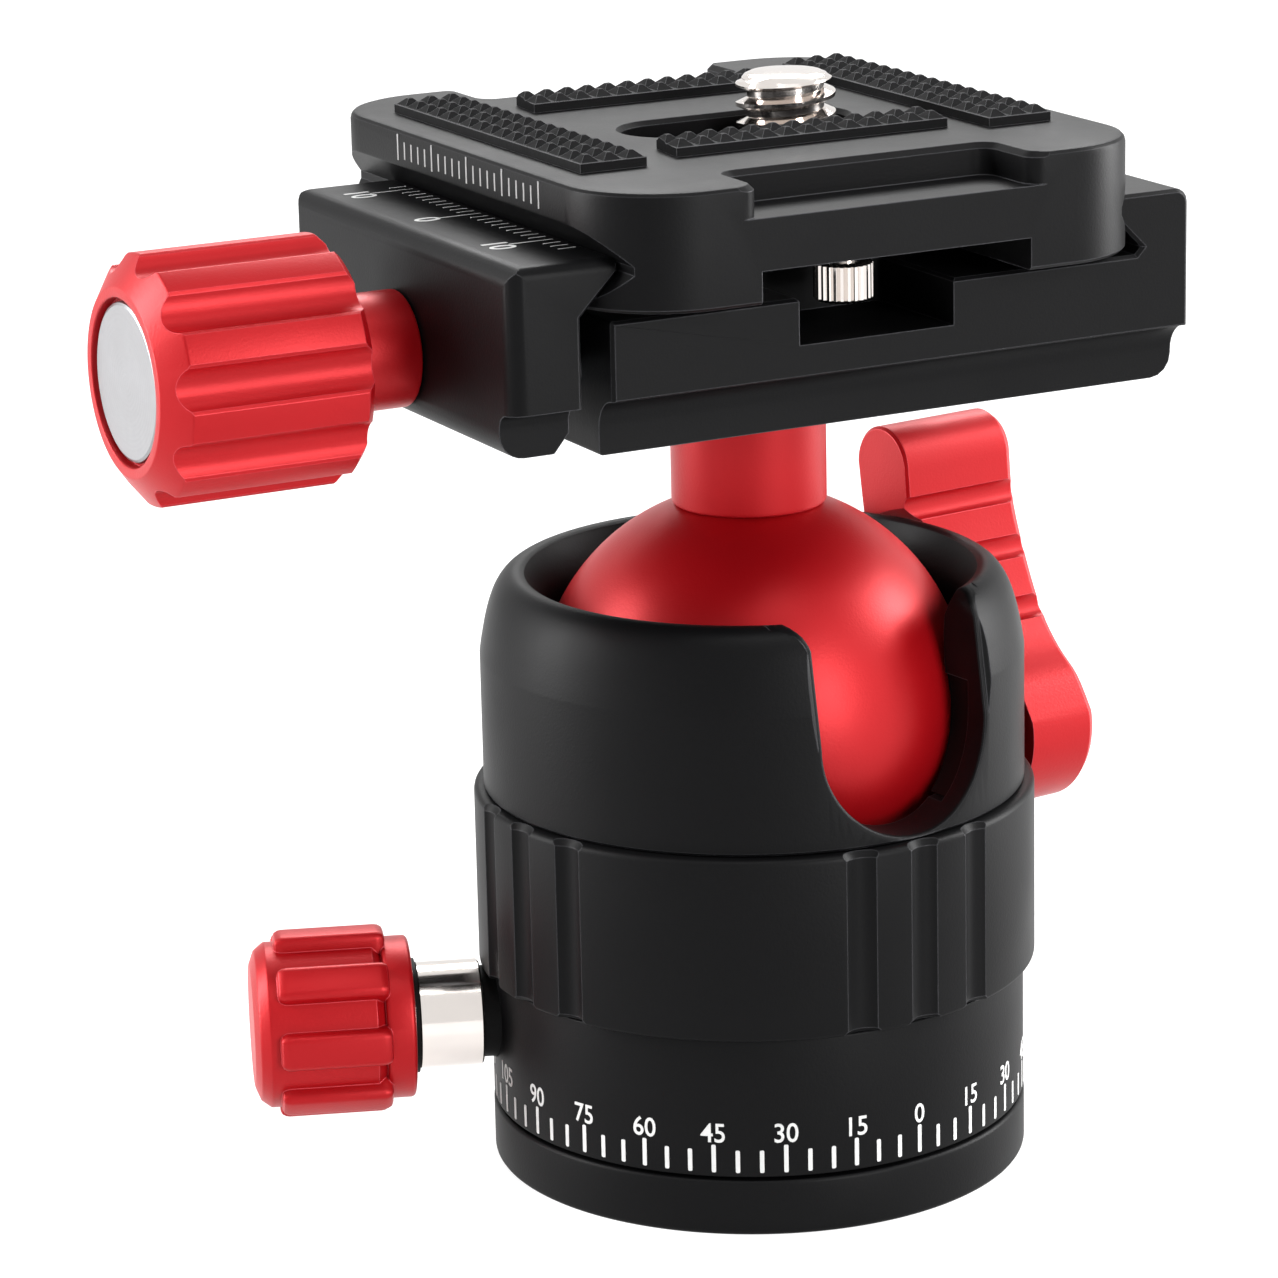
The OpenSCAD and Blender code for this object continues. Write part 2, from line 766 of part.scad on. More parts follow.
module clamp_bed() {
    color("#1c1c1e")
    difference() {
        across(clamp_w) bed_outline();
        end_coves(-moving_side, fixed_side, z_bed, cove_h);
        for (s = [-1, 1])
            translate([-stop_notch_w / 2, s > 0 ? clamp_w / 2 - stop_notch_len : -clamp_w / 2 - over,
                       z_floor - 2.9])
                cube([stop_notch_w, stop_notch_len + over, 2.9 + over]);
        translate([0, 0, z_bed - over]) cylinder(h = bed_h, d = bolt_d + 2 * fit);
        translate([0, 0, z_floor - bolt_head_h - 0.4]) cylinder(h = bolt_head_h + over, d = bolt_head_d + 0.1);
        outward(-90, z_clamp_axis) translate([0, 0, moving_side - in_bed - 0.5])
            cylinder(h = in_bed + over, d = clamp_screw_d + 2 * fit);
        for (s = [-1, 1])
            translate([0, s * pin_y, 0]) outward(-90, z_clamp_axis)
                translate([0, 0, moving_side - in_bed]) cylinder(h = in_bed + over, d = pin_d);
    }
}

module clamp_bolt() {
    color("#8d9094")
    difference() {
        union() {
            translate([0, 0, z_bed - neck_bolt_depth + 0.3])
                cylinder(h = bed_h + neck_bolt_depth - bolt_head_h - 0.6, d = bolt_d);
            translate([0, 0, z_floor - bolt_head_h - 0.4]) cylinder(h = bolt_head_h, d = bolt_head_d);
        }
        translate([0, 0, z_floor - bolt_socket_depth]) cylinder(h = bolt_head_h, d = bolt_socket_d, $fn = 6);
    }
}

module guide_pins() {
    color("#b9babc")
    for (s = [-1, 1])
        translate([0, s * pin_y, 0]) outward(-90, z_clamp_axis)
            translate([0, 0, moving_side - in_bed])
                cylinder(h = in_bed + jaw_out - moving_side - pin_skin - pin_end_gap, d = pin_d);
}

module jaw_outline() {
    top_r = 1.1;
    low_r = 1.6;
    difference() {
        polygon([[-jaw_out, z_foot], [-apex_x - 1, z_foot], [-apex_x, z_foot + 1.2], [-apex_x, z_apex],
                 [-tip_x, z_tip], [-tip_x, z_jaw - tip_bevel], [-tip_x - tip_bevel, z_jaw],
                 [-jaw_out, z_jaw]]);
        translate([-jaw_out + top_r, z_jaw - top_r])
            difference() {
                translate([-top_r - over, 0]) square(top_r + over);
                circle(top_r);
            }
        translate([-jaw_out + low_r, z_foot + low_r])
            difference() {
                translate([-low_r - over, -low_r - over]) square(low_r + over);
                circle(low_r);
            }
    }
}

module moving_jaw() {
    edge = 1;
    color("#1c1c1e")
    difference() {
        across(clamp_w) jaw_outline();
        end_coves(-jaw_out, -apex_x, z_foot, cove_h);
        for (s = [-1, 1])
            translate([-jaw_out, s * clamp_w / 2, z_foot - over])
                rotate([0, 0, 45])
                    translate([-edge * sqrt(0.5), -edge * sqrt(0.5), 0])
                        cube([edge * sqrt(2), edge * sqrt(2), z_jaw - z_foot + 2 * over]);
        outward(-90, z_clamp_axis) cylinder(h = jaw_out + over, d = clamp_screw_d + 0.2);
        for (s = [-1, 1])
            translate([0, s * pin_y, 0]) outward(-90, z_clamp_axis)
                cylinder(h = jaw_out - pin_skin, d = pin_d + 2 * fit);
    }
}

// ---------- clamp knob ----------

module clamp_screw() {
    color("#b9babc")
    outward(-90, z_clamp_axis) translate([0, 0, moving_side - in_bed])
        cylinder(h = in_bed + knob_in - moving_side + knob_bore_len, d = clamp_screw_d);
}

module knob_collar() {
    color("#d2323c")
    outward(-90, z_clamp_axis) translate([0, 0, jaw_out + 0.05])
        flat_ring(collar_d / 2, clamp_screw_d / 2, collar_len - 0.05);
}

module clamp_knob() {
    flute_r = 1.6;
    flute_depth = 0.8;
    front = 1.4;
    back = 0.6;
    disc_recess = 0.7;
    color("#d2323c")
    outward(-90, z_clamp_axis) translate([0, 0, knob_in])
    difference() {
        rotate_extrude()
            polygon([[0, 0], [knob_d / 2 - back, 0], [knob_d / 2, back], [knob_d / 2, knob_len - front],
                     [knob_disc_d / 2 + 0.9, knob_len], [0, knob_len]]);
        translate([0, 0, -over]) linear_extrude(knob_len + 2 * over)
            around(knob_flutes, knob_d / 2 + flute_r - flute_depth) circle(flute_r);
        translate([0, 0, -over]) cylinder(h = knob_bore_len + over, d = clamp_screw_d);
        translate([0, 0, knob_len - disc_recess]) cylinder(h = disc_recess + over, d = knob_disc_d + 0.5);
        translate([0, 0, knob_len - disc_in - disc_t]) cylinder(h = disc_t + over, d = knob_disc_d);
    }
}

module knob_disc() {
    edge = 0.25;
    color("#c9cbce")
    outward(-90, z_clamp_axis) translate([0, 0, knob_in + knob_len - disc_in - disc_t])
        rotate_extrude()
            polygon([[0, 0], [knob_disc_d / 2, 0], [knob_disc_d / 2, disc_t - edge],
                     [knob_disc_d / 2 - edge, disc_t], [0, disc_t]]);
}

// ---------- quick release plate ----------

module plate_outline() {
    half = plate_w / 2;
    groove_x = half - dovetail_h;
    z_flank = z_plate + dovetail_edge;
    z_groove = z_flank + dovetail_h;
    z_wall = z_plate_top - side_wall_h;
    polygon([[half - dovetail_edge, z_plate], [half, z_flank], [groove_x, z_groove], [groove_x, z_groove + dovetail_flat],
             [half, z_wall], [half, z_plate_top], [-half, z_plate_top], [-half, z_wall],
             [-groove_x, z_groove + dovetail_flat], [-groove_x, z_groove], [-half, z_flank],
             [-half + dovetail_edge, z_plate]]);
}

module plate_slot(half_length, r, z, height) {
    translate([0, slot_y, z]) linear_extrude(height) slot_shape(half_length, r);
}

module stop_screw_places() {
    for (s = [-1, 1])
        translate([0.3, plate_shift + s * (plate_len / 2 - stop_screw_in), 0]) children();
}

module release_plate() {
    color("#1c1c1e")
    difference() {
        intersection() {
            translate([0, plate_shift, 0]) across(plate_len) plate_outline();
            translate([0, plate_shift, z_plate - over]) linear_extrude(plate_t + 2 * over)
                soft_rectangle(plate_w, plate_len, plate_corner);
        }
        translate([-channel_w / 2, plate_front - over, z_plate - over])
            cube([channel_w, plate_len + 2 * over, channel_h + over]);
        for (s = [-1, 1])
            translate([0, plate_shift + s * (plate_len / 2 + over), z_plate_top - recess_d])
                linear_extrude(recess_d + over) soft_rectangle(recess_w, 2 * (recess_len + over), 1);
        plate_slot(slot_half, slot_r, z_pocket - over, plate_t);
        plate_slot(slot_half - slot_r + pocket_w / 2, pocket_w / 2, z_channel - over, pocket_h + over);
        stop_screw_places() translate([0, 0, z_channel - over]) cylinder(h = 2.4 + over, d = stop_shank_d);
    }
}

// Blunt ridges side by side, centred on X; they run along Y and end just past the pad's sides
module ridges(pitch, count, length) {
    low = pad_t - point_h;
    half = count * pitch / 2;
    rotate([90, 0, 0])
        linear_extrude(length + over, center = true)
            polygon(concat(
                [[half + over, 0], [-half - over, 0], [-half - over, low]],
                [for (i = [0:count - 1]) let (c = (i + 0.5) * pitch - half) each [
                    [c - pitch / 2 + point_floor, low], [c - point_flat, pad_t],
                    [c + point_flat, pad_t], [c + pitch / 2 - point_floor, low]]],
                [[half + over, low]]));
}

// A pad along X that starts at Y = 0: ridges both ways leave points where their crests cross
module pointed_pad(length, width, mitre, points, rows) {
    intersection() {
        linear_extrude(pad_t)
            polygon([[-length / 2, 0], [length / 2, 0], [length / 2 - mitre, width], [mitre - length / 2, width]]);
        translate([0, width / 2, 0]) ridges(length / points, points, width);
        translate([0, width / 2, 0]) rotate(90) ridges(width / rows, rows, length);
    }
}

module rubber_pads() {
    color("#161617")
    translate([0, 0, z_plate_top]) {
        for (s = [-1, 1])
            translate([s * side_pad_x + pad_strip_w / 2, side_pad_y, 0])
                rotate(90) pointed_pad(side_pad_len, pad_strip_w, 0, side_pad_points, side_pad_rows);
        for (y = end_pad_y)
            translate([end_pad_x, y, 0]) pointed_pad(end_pad_len, end_pad_w, end_pad_mitre, end_pad_points, end_pad_rows);
    }
}

module stop_screws() {
    color("#d9dadc")
    stop_screw_places() {
        translate([0, 0, z_plate + stop_head_up - stop_head_h]) cylinder(h = stop_head_h, d = stop_head_d);
        translate([0, 0, z_plate + stop_head_up - eps])
            cylinder(h = channel_h + stop_grip - stop_head_up, d = stop_shank_d);
    }
}

clip_t = 0.35;
module slot_clip() {
    color("#101012")
    translate([camera_screw_x, slot_y, z_channel + pocket_h - clip_t - 0.02])
        flat_ring(pocket_w / 2 - 0.5, camera_shank_d / 2 + fit, clip_t);
}

module camera_screw() {
    top_edge = 0.7;
    z_head = z_pocket - clip_t - 0.05 - head_t;
    z_thread = z_plate_top + 0.1;
    color("#d9dadc")
    translate([camera_screw_x, slot_y, 0])
    difference() {
        rotate_extrude()
            polygon([[0, z_head], [head_r, z_head], [head_r, z_head + head_t],
                     [camera_shank_d / 2, z_head + head_t], [camera_shank_d / 2, z_thread], [camera_screw_d / 2, z_thread],
                     [camera_screw_d / 2, z_plate_top + camera_screw_h - top_edge],
                     [camera_screw_d / 2 - top_edge, z_plate_top + camera_screw_h],
                     [0, z_plate_top + camera_screw_h]]);
        translate([-head_r - over, -coin_slot_w / 2, z_head - over])
            cube([2 * (head_r + over), coin_slot_w, coin_slot_depth + over]);
    }
}

base_disc();
base_screws();
pan_spindle();
thread_bush();
retaining_plate();
retaining_screws();
friction_washer();
scale_body();
grip_ring();
housing();
body_screws();
ball_liner();
ball_cup();
cup_spring();
lock_shoe();
lever_washer();
pan_brake_pad();
pan_seat_washer();
pan_screw();
pan_knob();
pan_shaft_washer();
lever();
lever_shaft();
lever_screw();
ball();
neck();
clamp_bed();
clamp_bolt();
guide_pins();
moving_jaw();
clamp_screw();
clamp_knob();
knob_collar();
knob_disc();
release_plate();
rubber_pads();
stop_screws();
slot_clip();
camera_screw();
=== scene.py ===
"""Tripod ball head: its visible pieces, finishes, lights and camera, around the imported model.

All sizes are in millimetres and become metres when a piece is finished.
"""

from __future__ import annotations

import json
import logging
import math
from collections.abc import Callable, Sequence
from dataclasses import dataclass
from enum import Enum

import bmesh
import bpy
from mathutils import Matrix, Vector

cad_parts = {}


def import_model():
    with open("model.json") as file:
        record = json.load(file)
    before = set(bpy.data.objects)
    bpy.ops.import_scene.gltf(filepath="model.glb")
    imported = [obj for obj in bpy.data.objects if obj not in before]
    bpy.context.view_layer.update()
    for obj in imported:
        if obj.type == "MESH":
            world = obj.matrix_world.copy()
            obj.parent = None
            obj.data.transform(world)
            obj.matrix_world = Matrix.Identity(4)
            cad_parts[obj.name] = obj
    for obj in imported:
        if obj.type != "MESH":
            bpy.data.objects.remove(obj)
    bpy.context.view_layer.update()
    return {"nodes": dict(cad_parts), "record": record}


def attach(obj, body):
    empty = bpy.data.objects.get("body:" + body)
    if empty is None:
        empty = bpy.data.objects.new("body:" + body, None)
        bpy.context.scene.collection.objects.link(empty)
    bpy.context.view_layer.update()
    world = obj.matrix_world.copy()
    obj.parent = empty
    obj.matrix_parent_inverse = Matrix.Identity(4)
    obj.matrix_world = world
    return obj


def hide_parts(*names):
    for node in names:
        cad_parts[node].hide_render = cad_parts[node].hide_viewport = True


log = logging.getLogger("ball_head")

MM = 0.001
Flat = tuple[float, float]
Outline = list[Flat]
Level = tuple[float, Outline]
Piece = bpy.types.Object
Tree = bpy.types.NodeTree
Socket = bpy.types.NodeSocket

# Heights and turns that several sub-assemblies share
BODY_TURN = 7.0
Z_SCALE = 3.9
Z_RING = 13.1
Z_HOUSING = 25.2
Z_RIM = 39.3
Z_BALL = 30.3
Z_LEVER = 25.25
Z_BED = 51.5
Z_FLOOR = 60.0
Z_JAW = 63.85
Z_CLAMP_AXIS = 56.4
Z_PLATE = 60.7
Z_PLATE_TOP = 67.9
SPINDLE_R = 8.05
RING_R = 18.25
CLAMP_HALF = 15.8
TIP_X = 17.04
APEX_X = 19.59
Z_TIP = 63.0
Z_APEX = 60.45
TIP_BEVEL = 0.35
FINE = math.radians(24)
# How far a cutter stands past the piece that it cuts
PAST = 2.0


# ---------- outlines ----------


def arc(cx: float, cy: float, r: float, start: float, end: float, steps: int) -> Outline:
    """Samples an arc.

    Args:
        cx: Centre along the first axis.
        cy: Centre along the second axis.
        r: Radius.
        start: First angle in degrees.
        end: Last angle in degrees.
        steps: Number of segments.

    Returns:
        The points, both ends included.
    """
    angles = [math.radians(start + (end - start) * i / steps) for i in range(steps + 1)]
    return [(cx + r * math.cos(a), cy + r * math.sin(a)) for a in angles]


def curve(points: Sequence[Flat], steps: int = 4) -> Outline:
    """Draws a smooth line through points.

    Args:
        points: Points that the line passes through.
        steps: Segments between two of them.

    Returns:
        The denser line, both ends included.
    """
    ends = [points[0], *points, points[-1]]
    line: Outline = []
    for a, b, c, d in zip(ends, ends[1:], ends[2:], ends[3:]):
        for i in range(steps):
            t = i / steps
            line.append(tuple(
                0.5 * (2 * b[k] + (c[k] - a[k]) * t + (2 * a[k] - 5 * b[k] + 4 * c[k] - d[k]) * t**2
                       + (3 * b[k] - a[k] - 3 * c[k] + d[k]) * t**3)
                for k in (0, 1)))
    return [*line, points[-1]]


def fillets(corners: Sequence[tuple[float, float, float]], steps: int = 4) -> Outline:
    """Rounds the corners of a closed outline.

    Args:
        corners: Corners as (first, second, radius).
        steps: Segments in each rounded corner.

    Returns:
        The outline with arcs in its corners.
    """
    outline: Outline = []
    for i, (x, y, r) in enumerate(corners):
        if not r:
            outline.append((x, y))
            continue
        here = Vector((x, y))
        back = (Vector(corners[i - 1][:2]) - here).normalized()
        ahead = (Vector(corners[(i + 1) % len(corners)][:2]) - here).normalized()
        half = back.angle(ahead) / 2
        reach = r / math.tan(half)
        centre = here + (back + ahead).normalized() * (r / math.sin(half))
        first, last = here + back * reach - centre, here + ahead * reach - centre
        sweep = first.angle_signed(last)
        for k in range(steps + 1):
            a = -sweep * k / steps
            outline.append((centre.x + first.x * math.cos(a) - first.y * math.sin(a),
                            centre.y + first.x * math.sin(a) + first.y * math.cos(a)))
    return outline


def grow(outline: Outline, by: float) -> Outline:
    """Moves an outline outwards.

    Args:
        outline: Outline, anticlockwise.
        by: Distance, which is inwards where it is negative.

    Returns:
        The outline with as many points.
    """
    grown: Outline = []
    for i, (x, y) in enumerate(outline):
        px, py = outline[i - 1]
        nx, ny = outline[(i + 1) % len(outline)]
        a = Vector((y - py, px - x)).normalized()
        b = Vector((ny - y, x - nx)).normalized()
        step = (a + b) * (by / max(1 + a.dot(b), 0.4))
        grown.append((x + step.x, y + step.y))
    return grown


def box_outline(x0: float, y0: float, x1: float, y1: float, r: float = 0) -> Outline:
    """A rectangle with round corners, anticlockwise."""
    return fillets([(x0, y0, r), (x1, y0, r), (x1, y1, r), (x0, y1, r)])


def both_sides(right: Outline) -> Outline:
    """Closes the right half of an outline with its mirror image across the second axis."""
    return [*right, *[(-x, y) for x, y in reversed(right)]]


# ---------- workbench ----------


class Along(Enum):
    """Axis along which an outline is raised, with the place of (first, second, level)."""

    X = (2, 0, 1)
    Y = (0, 2, 1)
    Z = (0, 1, 2)

    def place(self, point: Flat, level: float) -> Vector:
        """Puts a point of an outline at a level along this axis."""
        source = (*point, level)
        return Vector([source[k] for k in self.value])


class Cut(Enum):
    """What a cutter does to a piece."""

    AWAY = "DIFFERENCE"
    JOIN = "UNION"
    KEEP = "INTERSECT"


def only(piece: Piece) -> None:
    """Selects one piece and nothing else, and makes it active.

    Args:
        piece: The piece.
    """
    bpy.ops.object.select_all(action="DESELECT")
    piece.select_set(True)
    bpy.context.view_layer.objects.active = piece


def added(operator: Callable[..., object], name: str, **settings: object) -> Piece:
    """Adds an object with nothing else selected.

    Args:
        operator: Operator that adds it.
        name: Name of the object.
        **settings: Settings of the operator.

    Returns:
        The new object, selected and active.
    """
    bpy.ops.object.select_all(action="DESELECT")
    operator(**settings)
    thing = bpy.context.active_object
    thing.name = thing.data.name = name
    return thing


def ring_of(name: str, points: Sequence[Vector], filled: bool) -> Piece:
    """Starts a piece from a circle whose vertices go to given points, and stays in edit mode.

    Args:
        name: Name of the piece.
        points: Points around the loop.
        filled: Whether the loop gets a face.

    Returns:
        The piece, all selected.
    """
    piece = added(bpy.ops.mesh.primitive_circle_add, name, vertices=len(points),
                  fill_type="NGON" if filled else "NOTHING")
    bpy.ops.object.mode_set(mode="EDIT")
    shape = bmesh.from_edit_mesh(piece.data)
    corner = shape.verts.layers.int.new("corner")
    shape.verts.ensure_lookup_table()
    for i, point in enumerate(points):
        shape.verts[i].co = point
        shape.verts[i][corner] = i
    bmesh.update_edit_mesh(piece.data)
    return piece


def extrude(piece: Piece, where: Callable[[int, Vector], Vector]) -> None:
    """Extrudes the selected face, in edit mode.

    Args:
        piece: Piece that a loop of points started.
        where: Gives a new vertex's place from its number in the loop and its old place.
    """
    bpy.ops.mesh.extrude_region_move(TRANSFORM_OT_translate={"value": (0, 0, 0)})
    shape = bmesh.from_edit_mesh(piece.data)
    corner = shape.verts.layers.int["corner"]
    for vert in shape.verts:
        if vert.select:
            vert.co = where(vert[corner], vert.co)
    bmesh.update_edit_mesh(piece.data)


def tidy_mesh() -> None:
    """Merges doubles, deletes loose edges and turns the faces outwards, then leaves edit mode."""
    bpy.ops.mesh.select_all(action="SELECT")
    bpy.ops.mesh.remove_doubles(threshold=0.0005)
    bpy.ops.mesh.delete_loose()
    bpy.ops.mesh.select_all(action="SELECT")
    bpy.ops.mesh.normals_make_consistent(inside=False)
    bpy.ops.object.mode_set(mode="OBJECT")


def raise_solid(name: str, levels: Sequence[Level], along: Along = Along.Z) -> Piece:
    """Extrudes a face through levels, each with an outline of as many points.

    Args:
        name: Name of the piece.
        levels: Pairs of a place along the axis and the outline there.
        along: The axis.

    Returns:
        A closed solid.
    """
    start, outline = levels[0]
    piece = ring_of(name, [along.place(p, start) for p in outline], filled=True)
    for level, outline in levels[1:]:
        extrude(piece, lambda i, _: along.place(outline[i], level))
    tidy_mesh()
    return piece


def prism(name: str, outline: Outline, low: float, high: float, along: Along = Along.Z) -> Piece:
    """A straight solid between two levels of an axis."""
    return raise_solid(name, [(low, outline), (high, outline)], along)


def swell(name: str, outline: Outline, steps: Sequence[Flat], along: Along = Along.Z) -> Piece:
    """A solid whose outline is grown by a distance at each (level, distance)."""
    return raise_solid(name, [(level, grow(outline, by)) for level, by in steps], along)


def turn(name: str, profile: Sequence[Flat], steps: int = 128) -> Piece:
    """Spins a closed profile of (radius, height) once round the Z axis.

    Args:
        name: Name of the piece.
        profile: Closed profile, which may touch the axis.
        steps: Segments round the axis.

    Returns:
        A closed solid of revolution.
    """
    piece = ring_of(name, [Vector((r, 0, z)) for r, z in profile], filled=False)
    bpy.ops.mesh.spin(steps=steps, angle=math.tau, center=(0, 0, 0), axis=(0, 0, 1))
    tidy_mesh()
    return piece


def rod(name: str, r: float, low: float, high: float, steps: int = 64) -> Piece:
    """A straight rod round the Z axis."""
    return turn(name, [(0, low), (r, low), (r, high), (0, high)], steps)


def carve(piece: Piece, cutter: Piece, how: Cut = Cut.AWAY) -> Piece:
    """Applies a cutter to a piece and throws the cutter away.

    Args:
        piece: Piece that is changed.
        cutter: Closed solid.
        how: What the cutter does.

    Returns:
        The piece.
    """
    only(piece)
    modifier = piece.modifiers.new("carve", "BOOLEAN")
    modifier.operation = how.value
    modifier.solver = "MANIFOLD"
    modifier.object = cutter
    bpy.ops.object.modifier_apply(modifier=modifier.name)
    bpy.data.objects.remove(cutter)
    return piece


def moved(piece: Piece, place: Matrix) -> Piece:
    """Moves a piece by a matrix, and keeps its object at the origin.

    Args:
        piece: Piece, at the origin.
        place: The move.

    Returns:
        The piece.
    """
    only(piece)
    piece.matrix_world = place
    bpy.ops.object.transform_apply(location=True, rotation=True, scale=True)
    return piece


def copied(piece: Piece, places: Sequence[Matrix], name: str) -> Piece:
    """Puts a copy with its own mesh at each place, joins them and deletes the first piece.

    Args:
        piece: Piece that repeats.
        places: Where the copies go.
        name: Name of the whole.

    Returns:
        All copies as one object.
    """
    twins = []
    for place in places:
        twin = piece.copy()
        twin.data = piece.data.copy()
        bpy.context.collection.objects.link(twin)
        twins.append(moved(twin, place))
    bpy.data.objects.remove(piece)
    return joined(twins, name)


def joined(pieces: Sequence[Piece], name: str) -> Piece:
    """Joins pieces into one object.

    Args:
        pieces: Pieces, of which the first takes in the others.
        name: Name of the whole.

    Returns:
        The whole.
    """
    only(pieces[0])
    for piece in pieces:
        piece.select_set(True)
    bpy.ops.object.join()
    whole = bpy.context.active_object
    whole.name = whole.data.name = name
    return whole


def turned(degrees: float) -> Matrix:
    """Turns about the Z axis."""
    return Matrix.Rotation(math.radians(degrees), 4, "Z")


def shift(x: float = 0, y: float = 0, z: float = 0) -> Matrix:
    """Moves by a distance."""
    return Matrix.Translation((x, y, z))


def outward(angle: float, z: float) -> Matrix:
    """Frame whose +Z leaves the pan axis at an angle from the front, whose +Y is up."""
    return turned(angle) @ shift(z=z) @ Matrix.Rotation(math.pi / 2, 4, "X")


def bend(piece: Piece, where: Callable[[Vector], Vector]) -> Piece:
    """Moves each vertex of a piece.

    Args:
        piece: Piece that is changed.
        where: Gives a vertex's new place from its old one.

    Returns:
        The piece.
    """
    for vert in piece.data.vertices:
        vert.co = where(vert.co)
    piece.data.update()
    return piece


def lettering(word: str, height: float, thickness: float) -> Piece:
    """Makes a number as a thin solid, centred on X and standing on Y = 0.

    Args:
        word: The digits.
        height: Height of a digit.
        thickness: How far it stands out on both sides.

    Returns:
        The number.
    """
    text = added(bpy.ops.object.text_add, "number")
    text.data.body = word
    text.data.align_x = "CENTER"
    text.data.size = height / 0.71
    text.data.extrude = thickness
    text.data.offset = 0.012 * height
    text.data.resolution_u = 4
    bpy.ops.object.convert(target="MESH")
    only(text)
    bpy.ops.object.mode_set(mode="EDIT")
    tidy_mesh()
    return text


# ---------- finishes ----------


def linear(code: str) -> tuple[float, float, float, float]:
    """Turns an sRGB hex colour to linear.

    Args:
        code: Colour such as "#1c1c1e".

    Returns:
        Linear red, green, blue and alpha.
    """
    parts = [int(code[i:i + 2], 16) / 255 for i in (1, 3, 5)]
    red, green, blue = [p / 12.92 if p <= 0.04045 else ((p + 0.055) / 1.055) ** 2.4 for p in parts]
    return red, green, blue, 1.0


def add(tree: Tree, kind: str, settings: dict[str, object] | None = None,
        **inputs: object) -> bpy.types.Node:
    """Adds a shader node.

    Args:
        tree: Node tree.
        kind: Type of the node, without the word ShaderNode.
        settings: Properties of the node by name.
        **inputs: Values or output sockets by input name, with _ for a space.

    Returns:
        The node.
    """
    node = tree.nodes.new("ShaderNode" + kind)
    for key, value in (settings or {}).items():
        setattr(node, key, value)
    for key, value in inputs.items():
        name = key.replace("_", " ")
        socket = node.inputs[int(name[1:])] if name[1:].isdigit() else node.inputs[name]
        if isinstance(value, Socket):
            tree.links.new(value, socket)
        else:
            socket.default_value = value
    return node


def emptied(owner: bpy.types.Material | bpy.types.World) -> Tree:
    """Clears the node tree of a material or a world.

    Args:
        owner: The material or world.

    Returns:
        Its empty tree.
    """
    owner.use_nodes = True
    owner.node_tree.nodes.clear()
    return owner.node_tree


@dataclass(frozen=True)
class Finish:
    """A surface finish: its colours, gloss, grain and an optional painted highlight along edges, with real sizes
    in millimetres.
    """

    name: str
    colour: str
    shade: str
    roughness: float
    metallic: float = 0.0
    spread: float = 0.05
    grain: float = 0.17
    depth: float = 0.01
    patch: float = 9.0
    specular: float = 0.5
    # Radius by which the shading rounds edges, and the colour of a painted highlight along them
    edge: float = 0.0
    worn: str = "#808080"

    def pattern(self, tree: Tree, place: Socket) -> Socket:
        """Height of the surface's grain, from 0 to 1."""
        return add(tree, "TexNoise", Vector=place, Scale=1 / (self.grain * MM), Detail=2.0,
                   Roughness=0.6).outputs["Fac"]

    def worn_edges(self, tree: Tree, colour: Socket,
                   rounded: Socket) -> Socket:
        """Paints a highlight along edges: mixes in a paler colour where the rounded normal leaves the surface's
        own.

        Args:
            tree: Node tree of the material.
            colour: Colour of the flats.
            rounded: Normal with its edges rounded.

        Returns:
            The colour with the painted highlight along edges.
        """
        own = add(tree, "NewGeometry").outputs["Normal"]
        same = add(tree, "VectorMath", {"operation": "DOT_PRODUCT"}, i0=rounded, i1=own).outputs["Value"]
        # Painted highlight: the mask is 1 where the rounded normal bends away, on convex and hollow edges alike
        highlight_mask = add(tree, "MapRange", Value=same, From_Min=0.992, From_Max=0.86, To_Min=0.0, To_Max=1.0)
        return add(tree, "Mix", {"data_type": "RGBA"}, Factor=highlight_mask.outputs[0], i6=colour,
                   i7=linear(self.worn)).outputs[2]

    def build(self) -> bpy.types.Material:
        """Makes the material.

        Returns:
            A material with colour patches, varied gloss and grain, and a painted highlight along edges where
            edge is set.
        """
        material = bpy.data.materials.new(self.name)
        tree = emptied(material)
        place = add(tree, "TexCoord").outputs["Object"]
        grain = self.pattern(tree, place)
        patches = add(tree, "TexNoise", Vector=place, Scale=1 / (self.patch * MM), Detail=3.0).outputs["Fac"]
        colour = add(tree, "Mix", {"data_type": "RGBA"}, Factor=patches, i6=linear(self.colour),
                     i7=linear(self.shade)).outputs[2]
        gloss = add(tree, "MapRange", Value=patches, From_Min=0.3, From_Max=0.7,
                    To_Min=self.roughness - self.spread, To_Max=self.roughness + self.spread)
        normal = {}
        # Painted highlight along edges, standing in for light caught on them
        if self.edge:
            normal["Normal"] = add(tree, "Bevel", {"samples": 6}, Radius=self.edge * MM).outputs[0]
            colour = self.worn_edges(tree, colour, normal["Normal"])
        bump = add(tree, "Bump", Height=grain, Distance=self.depth * MM, Strength=1.0, **normal)
        shader = add(tree, "BsdfPrincipled", Base_Color=colour, Roughness=gloss.outputs[0],
                     Normal=bump.outputs[0], Metallic=self.metallic, Specular_IOR_Level=self.specular)
        add(tree, "OutputMaterial", Surface=shader.outputs[0])
        return material


@dataclass(frozen=True)
class TurnedFinish(Finish):
    """A finish with the fine rings that a lathe leaves round an axis through a point."""

    centre: tuple[float, float, float] = (0.0, 0.0, 0.0)
    direction: str = "Z"

    def pattern(self, tree: Tree, place: Socket) -> Socket:
        """Height of the turning rings, from 0 to 1.

        Args:
            tree: Node tree of the material.
            place: Coordinates.

        Returns:
            The height.
        """
        centred = add(tree, "Mapping", Vector=place, Location=[-c * MM for c in self.centre])
        # A ring texture repeats 20 / tau times in a unit at a scale of 1
        return add(tree, "TexWave", {"wave_type": "RINGS", "rings_direction": self.direction},
                   Vector=centred.outputs[0], Scale=math.tau / 20 / (self.grain * MM), Distortion=0.6,
                   Detail=2.0, Detail_Scale=1.5).outputs["Fac"]


@dataclass(frozen=True)
class Look:
    """A material and the record's slot for it."""

    slot: str
    material: bpy.types.Material


